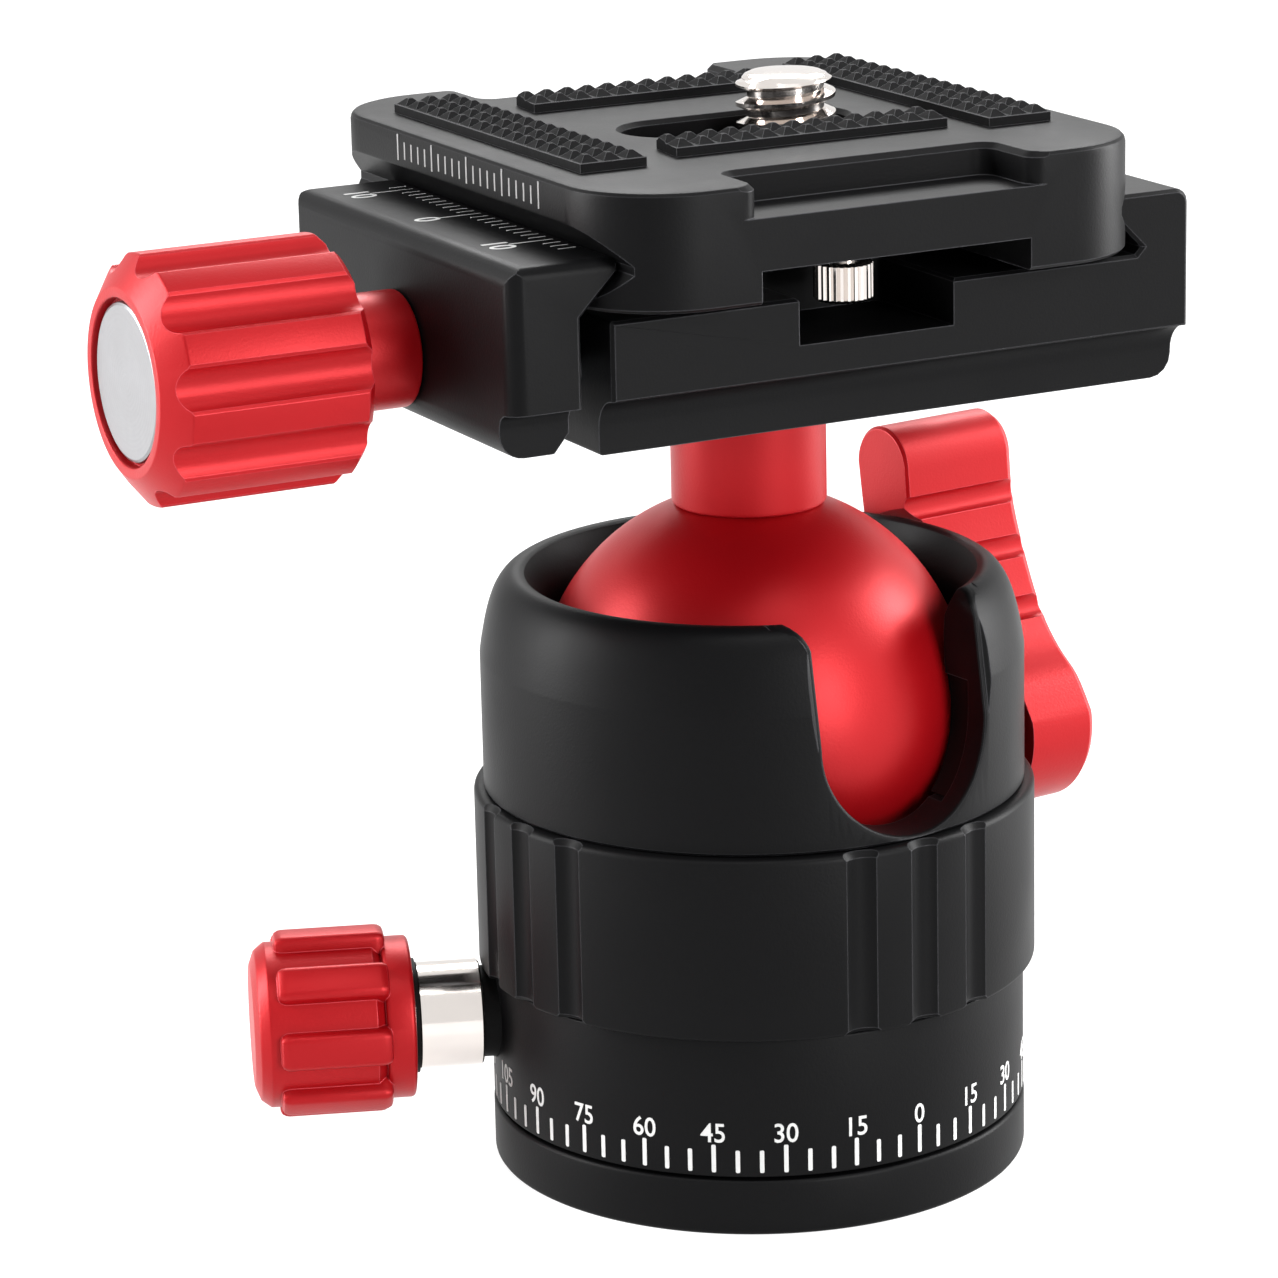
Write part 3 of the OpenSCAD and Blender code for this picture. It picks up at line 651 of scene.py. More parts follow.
class Finishes:
    """All finishes of the head, each made once."""

    def __init__(self) -> None:
        """Makes the materials."""
        # Bead-blasted aluminium, anodised black: a dull satin with a fine even grain. Blasting
        # grit leaves pits of about 0.1 mm, drawn a little coarser so that they show
        # Its edges get a painted grey highlight, standing in for light caught on them
        self.black = Look("black_anodised", Finish(
            "black_anodised_aluminium", "#060607", "#09090a", 0.46, spread=0.04, specular=0.09,
            edge=0.12, worn="#4c4c4f").build())
        # The same blasted surface, anodised red: the dye lies in a clear layer over bare metal,
        # so that the metal shines through in red; its edges get a painted pink highlight
        self.red = Look("red_anodised", Finish(
            "red_anodised_aluminium", "#a60811", "#9a060e", 0.40, metallic=0.35, spread=0.03,
            specular=0.28, edge=0.1, worn="#d0505a").build())
        # Bright nickel on steel: mirror-like, with faint smears in its gloss
        self.nickel = Look("plated_steel", Finish(
            "bright_nickel_plate", "#e9e2dc", "#ddd6d2", 0.13, metallic=1.0, spread=0.04,
            grain=0.6, depth=0.002, patch=2.5).build())
        # Turned steel screws and spindle: dull grey metal
        self.steel = Look("steel", Finish(
            "turned_steel", "#9b9da0", "#85888c", 0.34, metallic=1.0, spread=0.06,
            grain=0.25, depth=0.004, patch=3.0).build())
        # Spun aluminium disc: pale metal with rings from the facing tool, 0.12 mm apart in life
        # and drawn 0.3 mm apart so that they show
        self.spun = Look("spun_aluminium", TurnedFinish(
            "spun_aluminium", "#9a999b", "#858587", 0.36, metallic=1.0, grain=0.3, depth=0.003,
            patch=2.0, centre=(0, 0, Z_CLAMP_AXIS), direction="X").build())
        # Moulded rubber: matt black, with a painted pale highlight along its edges
        self.rubber = Look("black_rubber", Finish(
            "moulded_rubber", "#060607", "#0a0a0b", 0.6, spread=0.06, grain=0.2, patch=1.6,
            specular=0.08, edge=0.07, worn="#6e6e70").build())
        # Moulded acetal, dyed black: smooth and slightly waxy
        self.black_acetal = Look("black_plastic", Finish(
            "black_acetal", "#070707", "#0b0b0b", 0.5, grain=0.5, depth=0.003, specular=0.08).build())
        # Natural acetal: a warm off-white, slightly waxy
        self.acetal = Look("white_plastic", Finish(
            "natural_acetal", "#e6e2d6", "#ddd8ca", 0.42, grain=0.5, depth=0.003).build())
        # Turned brass plug: warm yellow metal
        self.brass = Look("brass", Finish(
            "turned_brass", "#c8a24a", "#b48f3d", 0.28, metallic=1.0, spread=0.06, grain=0.25,
            depth=0.003, patch=2.0).build())
        # Pad-printed white ink: matt, and slightly uneven where the pad lifted it
        self.ink = Look("white_plastic", Finish(
            "white_printing_ink", "#d4d4d3", "#bcbcbb", 0.6, grain=0.12, depth=0.002, patch=0.6,
            specular=0.3).build())
        # The same ink rubbed thin on the plate's side: grey where the black shows through
        self.thin_ink = Look("white_plastic", Finish(
            "rubbed_printing_ink", "#a2a2a2", "#7e7e7e", 0.6, grain=0.12, depth=0.002, patch=0.4,
            specular=0.3).build())

    def dress_nodes(self, nodes: dict[str, Piece], record: dict) -> None:
        """Gives each CAD node that still shows the finish of its slot.

        Args:
            nodes: CAD nodes by name.
            record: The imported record.
        """
        solid = (self.black, self.red, self.nickel, self.steel, self.spun, self.rubber,
                 self.black_acetal, self.acetal, self.brass)
        by_slot = {look.slot: look.material for look in solid}
        slots = {part["node"]: part["material_slot"] for part in record["subparts"]}
        for name, node in nodes.items():
            node.data.materials.clear()
            node.data.materials.append(by_slot[slots[name]])


# ---------- sub-assemblies ----------


@dataclass
class SubAssembly:
    """What all sub-assemblies share: the finishes that they are dressed in."""

    finishes: Finishes

    def finish(self, piece: Piece, body: str, look: Look, *nodes: str) -> None:
        """Turns a finished piece into metres, dresses it and ties it to the frame.

        Args:
            piece: Piece in millimetres.
            body: Body that it rides on.
            look: Its material and slot.
            *nodes: CAD nodes that it stands for.
        """
        moved(piece, Matrix.Scale(MM, 4))
        bpy.ops.object.shade_smooth_by_angle(angle=FINE)
        corner = piece.data.attributes.get("corner")
        if corner:
            piece.data.attributes.remove(corner)
        piece.data.materials.clear()
        piece.data.materials.append(look.material)
        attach(piece, body)
        if nodes:
            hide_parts(*nodes)
        log.info("%s: %d faces on %s", piece.name, len(piece.data.polygons), body)


# ---------- base and panning body ----------


@dataclass
class Base(SubAssembly):
    """The disc that screws onto the tripod, on which everything turns."""

    r: float = 17.55
    height: float = 3.7
    flange_r: float = 12.05
    flange_top: float = 1.85
    low_edge: float = 0.35
    top_edge: float = 0.25

    def build(self) -> None:
        """Turns the disc with rounded rims and the seat of the spindle's flange."""
        profile = fillets([
            (SPINDLE_R, self.flange_top, 0), (self.flange_r, self.flange_top, 0), (self.flange_r, 0, 0.1),
            (self.r, 0, self.low_edge), (self.r, self.height, self.top_edge), (SPINDLE_R, self.height, 0)])
        self.finish(turn("base_ring", profile, 192), "base", self.finishes.black, "base_disc")


@dataclass
class PanBody(SubAssembly):
    """The turning body: degree scale, grooved ring and ball housing with its drop notch."""

    scale_r: float = 17.5
    housing_r: float = 17.6
    bearing_r: float = 11.2
    washer_seat: float = 12.3
    pan_angle: float = -110.0
    pan_z: float = 10.0
    pan_seat_r: float = 3.05
    pan_bore_r: float = 2.05
    ring_in: float = 16.3
    ring_gap: float = 0.1
    ring_top: float = 25.1
    flute_clusters: int = 4
    flute_step: float = 14.2
    flute_r: float = 1.5
    flute_depth: float = 0.42
    flute_mouth: float = 0.3
    lever_bore: float = 3.55
    notch_half: float = 6.3
    notch_z: float = 31.7
    flare: float = 1.8
    z_flare: float = 37.85
    # Depth under the wall and growth of the outline, through the notch's rounded edge and out
    notch_edge: tuple[Flat, ...] = ((0.36, 0.0), (0.22, 0.03), (0.11, 0.10), (0.03, 0.22), (0.0, 0.36),
                                    (-0.3, 0.66), (-2.0, 0.66))
    notch_inside: float = 7.0
    steps: int = 192
    # Radius and height along the housing's outer top edge
    crown: tuple[Flat, ...] = ((17.6, 34.0), (17.44, 35.0), (17.1, 36.6), (16.65, 37.9), (16.1, 38.75),
                               (15.5, 39.2), (15.0, 39.3))
    rim_top: Flat = (14.6, 39.13)
    # Radius and height down the inside: the lip over the liner, the liner's seat and the cup's floor
    bowl: tuple[Flat, ...] = ((13.75, 37.4), (13.66, 35.5), (13.81, 33.6), (15.9, 33.6), (15.9, 26.4),
                              (14.6, 26.4), (14.6, 14.4))
    waist_r: float = 16.25
    tick_w: float = 0.28
    tick_low: float = 4.25
    tick_high: float = 5.75
    long_tick_high: float = 6.1
    tick_round: float = 0.08
    digit_h: float = 1.27
    digit_narrow: float = 0.92
    digit_z: float = 6.28
    ink: float = 0.025

    def wall_r(self, z: float) -> float:
        """Finds the housing's outer radius.

        Args:
            z: Height.

        Returns:
            The radius there.
        """
        if z <= self.crown[0][1]:
            return self.housing_r
        for (r0, z0), (r1, z1) in zip(self.crown, self.crown[1:]):
            if z <= z1:
                return r0 + (r1 - r0) * (z - z0) / (z1 - z0)
        return self.crown[-1][0]

    def scale_body(self) -> None:
        """Turns the lower body and sinks the seat of the pan screw."""
        body = turn("scale_drum", fillets([
            (SPINDLE_R, Z_SCALE, 0), (self.scale_r, Z_SCALE, 0.2), (self.scale_r, Z_RING, 0.12),
            (self.bearing_r, Z_RING, 0), (self.bearing_r, self.washer_seat, 0),
            (SPINDLE_R, self.washer_seat, 0)]), self.steps)
        for r, near, far in ((self.pan_seat_r, 17.25, 20), (self.pan_bore_r, 4, 18)):
            carve(body, moved(rod("bore", r, near, far), outward(self.pan_angle, self.pan_z)))
        self.finish(body, "pan_body", self.finishes.black, "scale_body")

    def lever_cutter(self, near: float) -> Piece:
        """Rod that bores the lever's hole from a distance outwards."""
        return moved(rod("bore", self.lever_bore, near, 20), outward(BODY_TURN + 90, Z_LEVER))

    def ring(self) -> None:
        """Turns the clamping ring and mills its clusters of shallow flutes from edge to edge."""
        low, high = Z_RING + self.ring_gap, self.ring_top
        profile = fillets([
            (self.ring_in, low, 0), (RING_R, low, 0.25), (RING_R, high, 0.4), (self.ring_in, high, 0)])
        ring = turn("grip_band", profile, self.steps)
        wide = self.flute_r + self.flute_mouth
        flute = turn("flute", [
            (0, low - 0.5), (wide, low - 0.5), (wide, low), (self.flute_r, low + 0.3),
            (self.flute_r, high - 0.4), (wide, high), (wide, high + 0.5), (0, high + 0.5)], 48)
        out = RING_R + self.flute_r - self.flute_depth
        angles = [BODY_TURN + 360 / self.flute_clusters * cluster + self.flute_step * k
                  for cluster in range(self.flute_clusters) for k in (-1, 0, 1)]
        carve(ring, copied(flute, [turned(a) @ shift(y=-out) for a in angles], "flutes"))
        carve(ring, self.lever_cutter(15))
        self.finish(ring, "pan_body", self.finishes.black, "grip_ring")

    def notch_outline(self, extra: float) -> Outline:
        """Draws the drop notch in X and Z.

        Args:
            extra: Distance by which it is grown.

        Returns:
            The outline, open at the rim.
        """
        out, flare, top = self.notch_half + self.flare, self.flare - extra, Z_RIM + PAST
        left = arc(-out, self.z_flare, flare, 90, 0, 10)
        right = arc(out, self.z_flare, flare, 180, 90, 10)
        foot = arc(0, self.notch_z, self.notch_half + extra, 180, 360, 48)
        return [*left, *foot, *right, (out, top), (-out, top)]

    def notch_cutter(self) -> Piece:
        """Makes the solid that cuts the notch and rounds its outer edge along the curved wall.

        Returns:
            The cutter.
        """
        start = self.notch_outline(0)
        cutter = ring_of("notch", [Vector((x, -self.notch_inside, z)) for x, z in start], filled=True)
        for depth, extra in self.notch_edge:
            outline = self.notch_outline(extra)

            def on_wall(i: int, _: Vector) -> Vector:
                """Puts a point of the outline at this depth under the wall."""
                x, z = outline[i]
                return Vector((x, -math.sqrt((self.wall_r(z) - depth) ** 2 - x * x), z))

            extrude(cutter, on_wall)
        tidy_mesh()
        return moved(cutter, turned(BODY_TURN))

    def housing(self) -> None:
        """Turns the ball housing, then cuts the drop notch and the lever's bore."""
        outside = [
            (self.bearing_r, Z_RING), (self.waist_r, Z_RING), (self.waist_r, Z_HOUSING),
            (self.housing_r - 0.1, Z_HOUSING), (self.housing_r, Z_HOUSING + 0.15),
            *curve([*self.crown, self.rim_top])]
        floor = (self.bearing_r, self.bowl[-1][1])
        shell = turn("ball_housing", [*outside, *self.bowl, floor], self.steps)
        carve(shell, self.notch_cutter())
        carve(shell, self.lever_cutter(14))
        self.finish(shell, "pan_body", self.finishes.black, "housing")

    def wrapped(self, piece: Piece, angle: float) -> Piece:
        """Wraps a flat print, drawn in X and Y, round the scale body.

        Args:
            piece: The print.
            angle: Angle from the notch in degrees.

        Returns:
            The print.
        """
        def on_drum(p: Vector) -> Vector:
            """Puts a flat point on the drum."""
            a, r = math.radians(BODY_TURN + angle) + p.x / self.scale_r, self.scale_r + p.z
            return Vector((r * math.sin(a), -r * math.cos(a), p.y))

        return bend(piece, on_drum)

    def degree_scale(self) -> None:
        """Prints a tick each 5 degrees and a number each 15."""
        prints = []
        half, r = self.tick_w / 2, self.tick_round
        for angle in range(-180, 180, 5):
            high = self.tick_high if angle % 15 else self.long_tick_high
            outline = fillets([(-half, self.tick_low, r), (half, self.tick_low, r), (half, high, r),
                               (-half, high, r)], 2)
            prints.append(self.wrapped(prism("tick", outline, -self.ink, self.ink), angle))
            if angle % 15 == 0:
                number = lettering(str(abs(angle)), self.digit_h, self.ink)
                bend(number, lambda p: Vector((p.x * self.digit_narrow, p.y + self.digit_z, p.z)))
                prints.append(self.wrapped(number, angle))
        self.finish(joined(prints, "degree_scale"), "pan_body", self.finishes.ink)

    def build(self) -> None:
        """Builds the whole body."""
        self.scale_body()
        self.ring()
        self.housing()
        self.degree_scale()


@dataclass
class PanLock(SubAssembly):
    """The small red knob on its bright shaft, which locks the panning."""

    angle: float = -110.0
    z: float = 10.0
    stem_r: float = 2.0
    stem_in: float = 10.75
    stem_out: float = 27.9
    shaft_in: float = 18.4
    shaft_out: float = 22.6
    shaft_r: float = 3.5
    shaft_edge: float = 0.12
    knob_in: float = 22.95
    flange_r: float = 5.3
    flange_t: float = 1.9
    tip_r: float = 5.4
    tip_z: float = 10.4
    rib_half: float = 1.2
    rib_in: float = 4.0
    rib_top: float = 6.2
    # Heights of a rib's rounded ends, with the growth of its outline there
    rib_ends: tuple[Flat, ...] = ((1.6, -0.4), (1.7, -0.18), (1.95, -0.04), (2.2, 0), (8.2, 0), (8.45, -0.04),
                                  (8.7, -0.18), (8.8, -0.4))
    ribs: int = 8

    def build(self) -> None:
        """Turns the shaft and the knob's core, and joins the ribs to it."""
        place = outward(self.angle, self.z)
        r, edge, stem = self.shaft_r, self.shaft_edge, self.stem_r
        shaft = turn("pan_shaft", [
            (0, self.stem_in), (stem, self.stem_in), (stem, self.shaft_in), (r - edge, self.shaft_in),
            (r, self.shaft_in + edge), (r, self.shaft_out - edge), (r - edge, self.shaft_out),
            (stem, self.shaft_out), (stem, self.stem_out), (0, self.stem_out)], 96)
        self.finish(moved(shaft, place), "pan_lock", self.finishes.nickel, "pan_screw")
        knob = turn("pan_grip", fillets([
            (stem, 0, 0), (self.flange_r, 0, 0.3), (self.flange_r, self.flange_t, 0.3),
            (self.tip_r - 0.6, self.flange_t, 0), (self.tip_r, self.flange_t + 0.6, 0), (self.tip_r, 9.4, 0.2),
            (self.tip_r - 0.5, 10.05, 0.3), (self.tip_r - 1.4, self.tip_z, 0.5), (0, self.tip_z, 0), (0, 5, 0),
            (stem, 5, 0)]), 96)
        outline = box_outline(-self.rib_half, self.rib_in, self.rib_half, self.rib_top, 0.5)
        ribs = copied(swell("rib", outline, self.rib_ends),
                      [turned(360 * i / self.ribs) for i in range(self.ribs)], "ribs")
        carve(knob, ribs, Cut.JOIN)
        self.finish(moved(knob, place @ shift(z=self.knob_in)), "pan_lock", self.finishes.red, "pan_knob")


# ---------- lever ----------


@dataclass
class Lever(SubAssembly):
    """The red locking lever with its lobe, cross grooves and bevelled outer face."""

    inner: float = 18.65
    outer: float = 24.05
    boss_r: float = 5.9
    lobe_r: float = 2.75
    lobe_up: float = 17.05
    lobe_back: float = 5.7
    lobe_in: float = 14.95
    bevel: float = 0.6
    sweep_r: float = 21.21
    bore_r: float = 1.55
    screw_r: float = 3.05
    screw_sink: float = 1.5
    groove_r: float = 0.85
    grooves: tuple[Flat, ...] = ((2.4, 14.75), (1.27, 11.25), (-0.44, 7.45))
    back: tuple[Flat, ...] = ((5.89, 0.4), (6.2, 4.0), (6.95, 9.2), (7.85, 13.4), (8.45, 17.05))
    front: tuple[Flat, ...] = ((2.95, 17.05), (2.5, 13.75), (1.02, 9.9), (-0.55, 6.9), (-2.2, 5.0), (-4.2, 3.4),
                               (-5.75, 1.2))

    def outline(self) -> Outline:
        """Draws the arm as seen along the pivot.

        Returns:
            The outline, anticlockwise, with X backwards and Y up.
        """
        lobe = arc(self.lobe_back, self.lobe_up, self.lobe_r, 0, 180, 24)
        boss = arc(0, 0, self.boss_r, 168, 364, 44)
        return [*curve(self.back, 5)[:-1], *lobe, *curve(self.front)[1:], *boss[1:-1]]

    def build(self) -> None:
        """Raises the arm with its lobe, and cuts the way over the rim, the grooves and the screw's seat."""
        outer, low = self.outer, self.lobe_in - 1
        lever = swell("lock_lever", self.outline(), [
            (self.lobe_in, -0.2), (self.lobe_in + 0.2, 0), (outer - self.bevel, 0),
            (outer - 0.12, -self.bevel * 0.6), (outer, -self.bevel)])
        first, last = (math.degrees(math.asin(z / self.sweep_r)) for z in (low, self.inner))
        sweep = [(0, low), *arc(0, 0, self.sweep_r, first, last, 16), (0, self.inner)]
        carve(lever, turn("sweep", sweep, 160))
        for x, y in self.grooves:
            carve(lever, moved(rod("groove", self.groove_r, low, outer + 1, 32), shift(x, y)))
        carve(lever, turn("seat", [
            (0, 17), (self.bore_r, 17), (self.bore_r, outer - self.screw_sink), (self.screw_r, outer),
            (self.screw_r + 0.3, outer + 0.3), (self.screw_r + 0.3, 26), (0, 26)], 64))
        self.finish(moved(lever, outward(BODY_TURN + 90, Z_LEVER)), "lever", self.finishes.red, "lever")


# ---------- ball and neck ----------


@dataclass
class Ball(SubAssembly):
    """The red ball and its neck."""

    r: float = 14.0
    seat_gap: float = 0.05
    neck_r: float = 5.0
    neck_top: float = 51.45
    collar_step: float = 0.3
    bolt_r: float = 2.55
    bolt_z: float = 45.5

    def build(self) -> None:
        """Turns the ball from a half circle, and the neck with a hollow foot that sits on it."""
        ball = turn("locking_ball", arc(0, Z_BALL, self.r, -90, 90, 90), 160)
        self.finish(ball, "ball", self.finishes.red, "ball")
        reach = self.r + self.seat_gap
        foot = [(r, Z_BALL + math.sqrt(reach**2 - r * r)) for r in (0, 1, 2, 3, 4, 4.7)]
        edge = [(r, foot[-1][1] + up) for r, up in ((4.85, 0.02), (4.96, 0.14), (self.neck_r, 0.32))]
        top, inner = self.neck_top, self.neck_r - self.collar_step
        neck = turn("ball_neck", [
            *foot, *edge, (self.neck_r, top - 0.5), (inner, top - 0.2), (inner, top), (self.bolt_r, top),
            (self.bolt_r, self.bolt_z), (0, self.bolt_z)])
        self.finish(neck, "neck", self.finishes.red, "neck")


# ---------- clamp ----------


@dataclass
class Clamp(SubAssembly):
    """The bed with its fixed jaw, and the moving jaw with its printed scale."""

    fixed: float = 23.0
    moving: float = 17.6
    jaw_out: float = 24.19
    jaw_corner: float = 1.2
    jaw_end: float = 0.8
    foot: float = 52.0
    cove: float = 2.0
    bed_cove: Flat = (3.6, 1.9)
    jaw_cove: Flat = (2.9, 1.0)
    end_edge: float = 0.22
    notch_x: float = 0.5
    notch_half: float = 5.4
    notch_len: float = 9.0
    # Heights of a stop notch, with the growth of its outline there
    notch_steps: tuple[Flat, ...] = ((57.1, 0), (59.8, 0), (60.1, 0.3), (61.3, 0.35))
    bolt_r: float = 2.55
    bolt_head_r: float = 4.3
    screw_r: float = 3.05
    pin_y: float = 10.2
    pin_r: float = 1.5
    fit: float = 0.05
    scale_y: float = 1.4
    tick_half: float = 0.06
    tick_in: float = -17.75
    tick_out: float = -18.9
    long_tick_out: float = -20.7
    digit_x: float = -22.2
    digit_h: float = 1.7
    ink: float = 0.02

    def cove_cutter(self, side: int, z: float, cove: Flat) -> Piece:
        """Makes the cutter for the hollow lower edge.

        Args:
            side: -1 for the front and 1 for the back.
            z: Height of the lower face.
            cove: Height and radius of the hollow.

        Returns:
            The cutter.
        """
        inner = CLAMP_HALF - self.cove
        top, r = z + cove[0], cove[1]
        outline = [(CLAMP_HALF + 2, top + 0.9), (CLAMP_HALF + 0.6, top + 0.9), (CLAMP_HALF, top + 0.1),
                   *arc(inner + r, top - r, r, 90, 180, 8), (inner, z - 2), (CLAMP_HALF + 2, z - 2)]
        if side < 0:
            outline = [(-y, h) for y, h in reversed(outline)]
        return prism("cove", outline, -40, 40, Along.X)

    def bar(self, name: str, outline: Outline) -> Piece:
        """A bar along the dovetail, with slightly broken edges at its ends."""
        y, edge = CLAMP_HALF, self.end_edge
        return swell(name, outline, [(-y, -edge), (edge - y, 0), (y - edge, 0), (y, -edge)], Along.Y)

    def bore(self, piece: Piece, r: float, near: float, far: float, y: float = 0) -> None:
        """Bores a hole along the clamp screw's axis."""
        steps = 32 if y else 64
        carve(piece, moved(rod("bore", r, near, far, steps), shift(y=y) @ outward(-90, Z_CLAMP_AXIS)))

    def bed(self) -> None:
        """Raises the bed along the dovetail, and cuts its coves, stop notches and bores."""
        bed = self.bar("clamp_block", fillets([
            (-self.moving, Z_BED, 0.25), (self.fixed, Z_BED, 1.5), (self.fixed, Z_JAW, 0.9),
            (TIP_X + TIP_BEVEL, Z_JAW, 0), (TIP_X, Z_JAW - TIP_BEVEL, 0), (TIP_X, Z_TIP, 0), (APEX_X, Z_APEX, 0),
            (APEX_X - 0.45, Z_FLOOR, 0), (-self.moving, Z_FLOOR, 0.2)]))
        for side in (-1, 1):
            near, far = sorted((side * (CLAMP_HALF - self.notch_len), side * (CLAMP_HALF + PAST)))
            notch = box_outline(self.notch_x - self.notch_half, near, self.notch_x + self.notch_half, far, 0.7)
            carve(bed, swell("notch", notch, self.notch_steps))
            carve(bed, self.cove_cutter(side, Z_BED, self.bed_cove))
            self.bore(bed, self.pin_r, 8.6, 19, side * self.pin_y)
        carve(bed, turn("bolt", [(0, 50), (self.bolt_r, 50), (self.bolt_r, 56.4), (self.bolt_head_r, 56.4),
                                 (self.bolt_head_r, 62), (0, 62)], 64))
        self.bore(bed, self.screw_r, 8.1, 19)
        self.finish(bed, "clamp", self.finishes.black, "clamp_bed")

    def jaw(self) -> None:
        """Raises the moving jaw, rounds its outer corners and top edges, and bores it."""
        jaw = self.bar("sliding_jaw", fillets([
            (-self.jaw_out, self.foot, 1.6), (-APEX_X - 1, self.foot, 0.2), (-APEX_X, self.foot + 1.2, 0.2),
            (-APEX_X, Z_APEX, 0), (-TIP_X, Z_TIP, 0), (-TIP_X, Z_JAW - TIP_BEVEL, 0),
            (-TIP_X - TIP_BEVEL, Z_JAW, 0), (-self.jaw_out, Z_JAW, 1.3)], 6))
        r, e = self.jaw_corner, self.jaw_end
        x_in, x_out, z_end = r - self.jaw_out, -self.jaw_out - PAST, Z_JAW - e
        for side in (-1, 1):
            y_in, y_end, y_out = side * (CLAMP_HALF - r), side * (CLAMP_HALF - e), side * (CLAMP_HALF + PAST)
            carve(jaw, self.cove_cutter(side, self.foot, self.jaw_cove))
            corner = [*arc(x_in, y_in, r, 180, 180 - side * 90, 8), (x_in, y_out), (x_out, y_out), (x_out, y_in)]
            carve(jaw, prism("corner", corner, self.foot - 1, Z_JAW + 1))
            top = [*arc(y_end, z_end, e, 90, 90 - side * 90, 6), (y_out, z_end), (y_out, Z_JAW + PAST),
                   (y_end, Z_JAW + PAST)]
            carve(jaw, prism("top", top, -30, -15, Along.X))
            self.bore(jaw, self.pin_r + self.fit, 15, 23.29, side * self.pin_y)
        self.bore(jaw, self.screw_r + self.fit, 15, 26)
        self.finish(jaw, "jaw", self.finishes.black, "moving_jaw")

    def jaw_scale(self) -> None:
        """Prints the jaw's scale: a tick each millimetre, and long lines with numbers each ten."""
        prints = []
        for i in range(-13, 12):
            y = self.scale_y + i
            out = self.tick_out if i % 10 else self.long_tick_out
            outline = [(out, y - self.tick_half), (self.tick_in, y - self.tick_half),
                       (self.tick_in, y + self.tick_half), (out, y + self.tick_half)]
            prints.append(prism("tick", outline, Z_JAW - self.ink, Z_JAW + self.ink))
            if i % 10 == 0:
                number = lettering(str(abs(i)), self.digit_h, self.ink)
                prints.append(moved(number, shift(self.digit_x, y, Z_JAW) @ turned(-90)))
        self.finish(joined(prints, "jaw_scale"), "jaw", self.finishes.ink)

    def build(self) -> None:
        """Builds the bed, the jaw and the scale."""
        self.bed()
        self.jaw()
        self.jaw_scale()


@dataclass
class ClampKnob(SubAssembly):
    """The fluted red knob, its collar and the disc in its end."""

    inner: float = 29.09
    length: float = 13.3
    r: float = 7.7
    flutes: int = 10
    flute_r: float = 1.5
    flute_depth: float = 0.95
    flute_turn: float = 6.0
    # Angles by which a flute and the land beside it stop short of their common edge
    flute_short: float = 5.0
    land_short: float = 1.2
    front: float = 1.4
    back: float = 0.6
    disc_r: float = 4.9
    disc_t: float = 1.5
    disc_sunk: float = 0.2
    bore_r: float = 3.0
    collar_r: float = 3.65
    collar_in: float = 24.29

    def outline(self) -> Outline:
        """Draws the fluted knob, with slightly broken edges at the flutes.

        Returns:
            The outline.
        """
        middle = self.r + self.flute_r - self.flute_depth
        reach = math.degrees(math.acos((self.r**2 + middle**2 - self.flute_r**2) / (2 * self.r * middle)))
        bite = math.degrees(math.acos((self.flute_r**2 + middle**2 - self.r**2) / (2 * self.flute_r * middle)))
        pitch, reach, bite = 360 / self.flutes, reach + self.land_short, bite - self.flute_short
        points: Outline = []
        for i in range(self.flutes):
            a = pitch * i + self.flute_turn
            cx, cy = middle * math.cos(math.radians(a)), middle * math.sin(math.radians(a))
            points += arc(cx, cy, self.flute_r, a + 180 + bite, a + 180 - bite, 14)
            points += arc(0, 0, self.r, a + reach, a + pitch - reach, 10)
        return points

    def build(self) -> None:
        """Raises the fluted grip, turns its chamfers, and adds the collar and the disc."""
        place = outward(-90, Z_CLAMP_AXIS)
        grip = prism("clamp_grip", self.outline(), 0, self.length)
        rim, out, end = self.disc_r + 0.25, self.r + 0.03, self.length
        pocket = end - self.disc_t - self.disc_sunk
        envelope = fillets([
            (self.bore_r, 0, 0), (self.r - self.back, 0, 0.15), (out, self.back, 0.2),
            (out, end - self.front, 0.35), (self.disc_r + 0.9, end, 0.2), (rim, end, 0.1), (rim, end - 0.7, 0),
            (self.disc_r, end - 0.7, 0), (self.disc_r, pocket, 0), (self.bore_r, pocket, 0)])
        carve(grip, turn("envelope", envelope, 160), Cut.KEEP)
        self.finish(moved(grip, place @ shift(z=self.inner)), "clamp_knob", self.finishes.red, "clamp_knob")
        collar = turn("grip_collar", fillets([
            (self.bore_r, self.collar_in, 0), (self.collar_r, self.collar_in, 0.12),
            (self.collar_r, self.inner, 0.2), (self.bore_r, self.inner, 0)]), 96)
        self.finish(moved(collar, place), "clamp_knob", self.finishes.red, "knob_collar")
        top, r = self.inner + self.length - self.disc_sunk, self.disc_r
        face = turn("grip_disc", [(0, top - self.disc_t), (r, top - self.disc_t), (r, top - 0.25),
                                  (r - 0.08, top - 0.08), (r - 0.25, top), (0, top)], 96)
        self.finish(moved(face, place), "clamp_knob", self.finishes.spun, "knob_disc")


# ---------- plate ----------


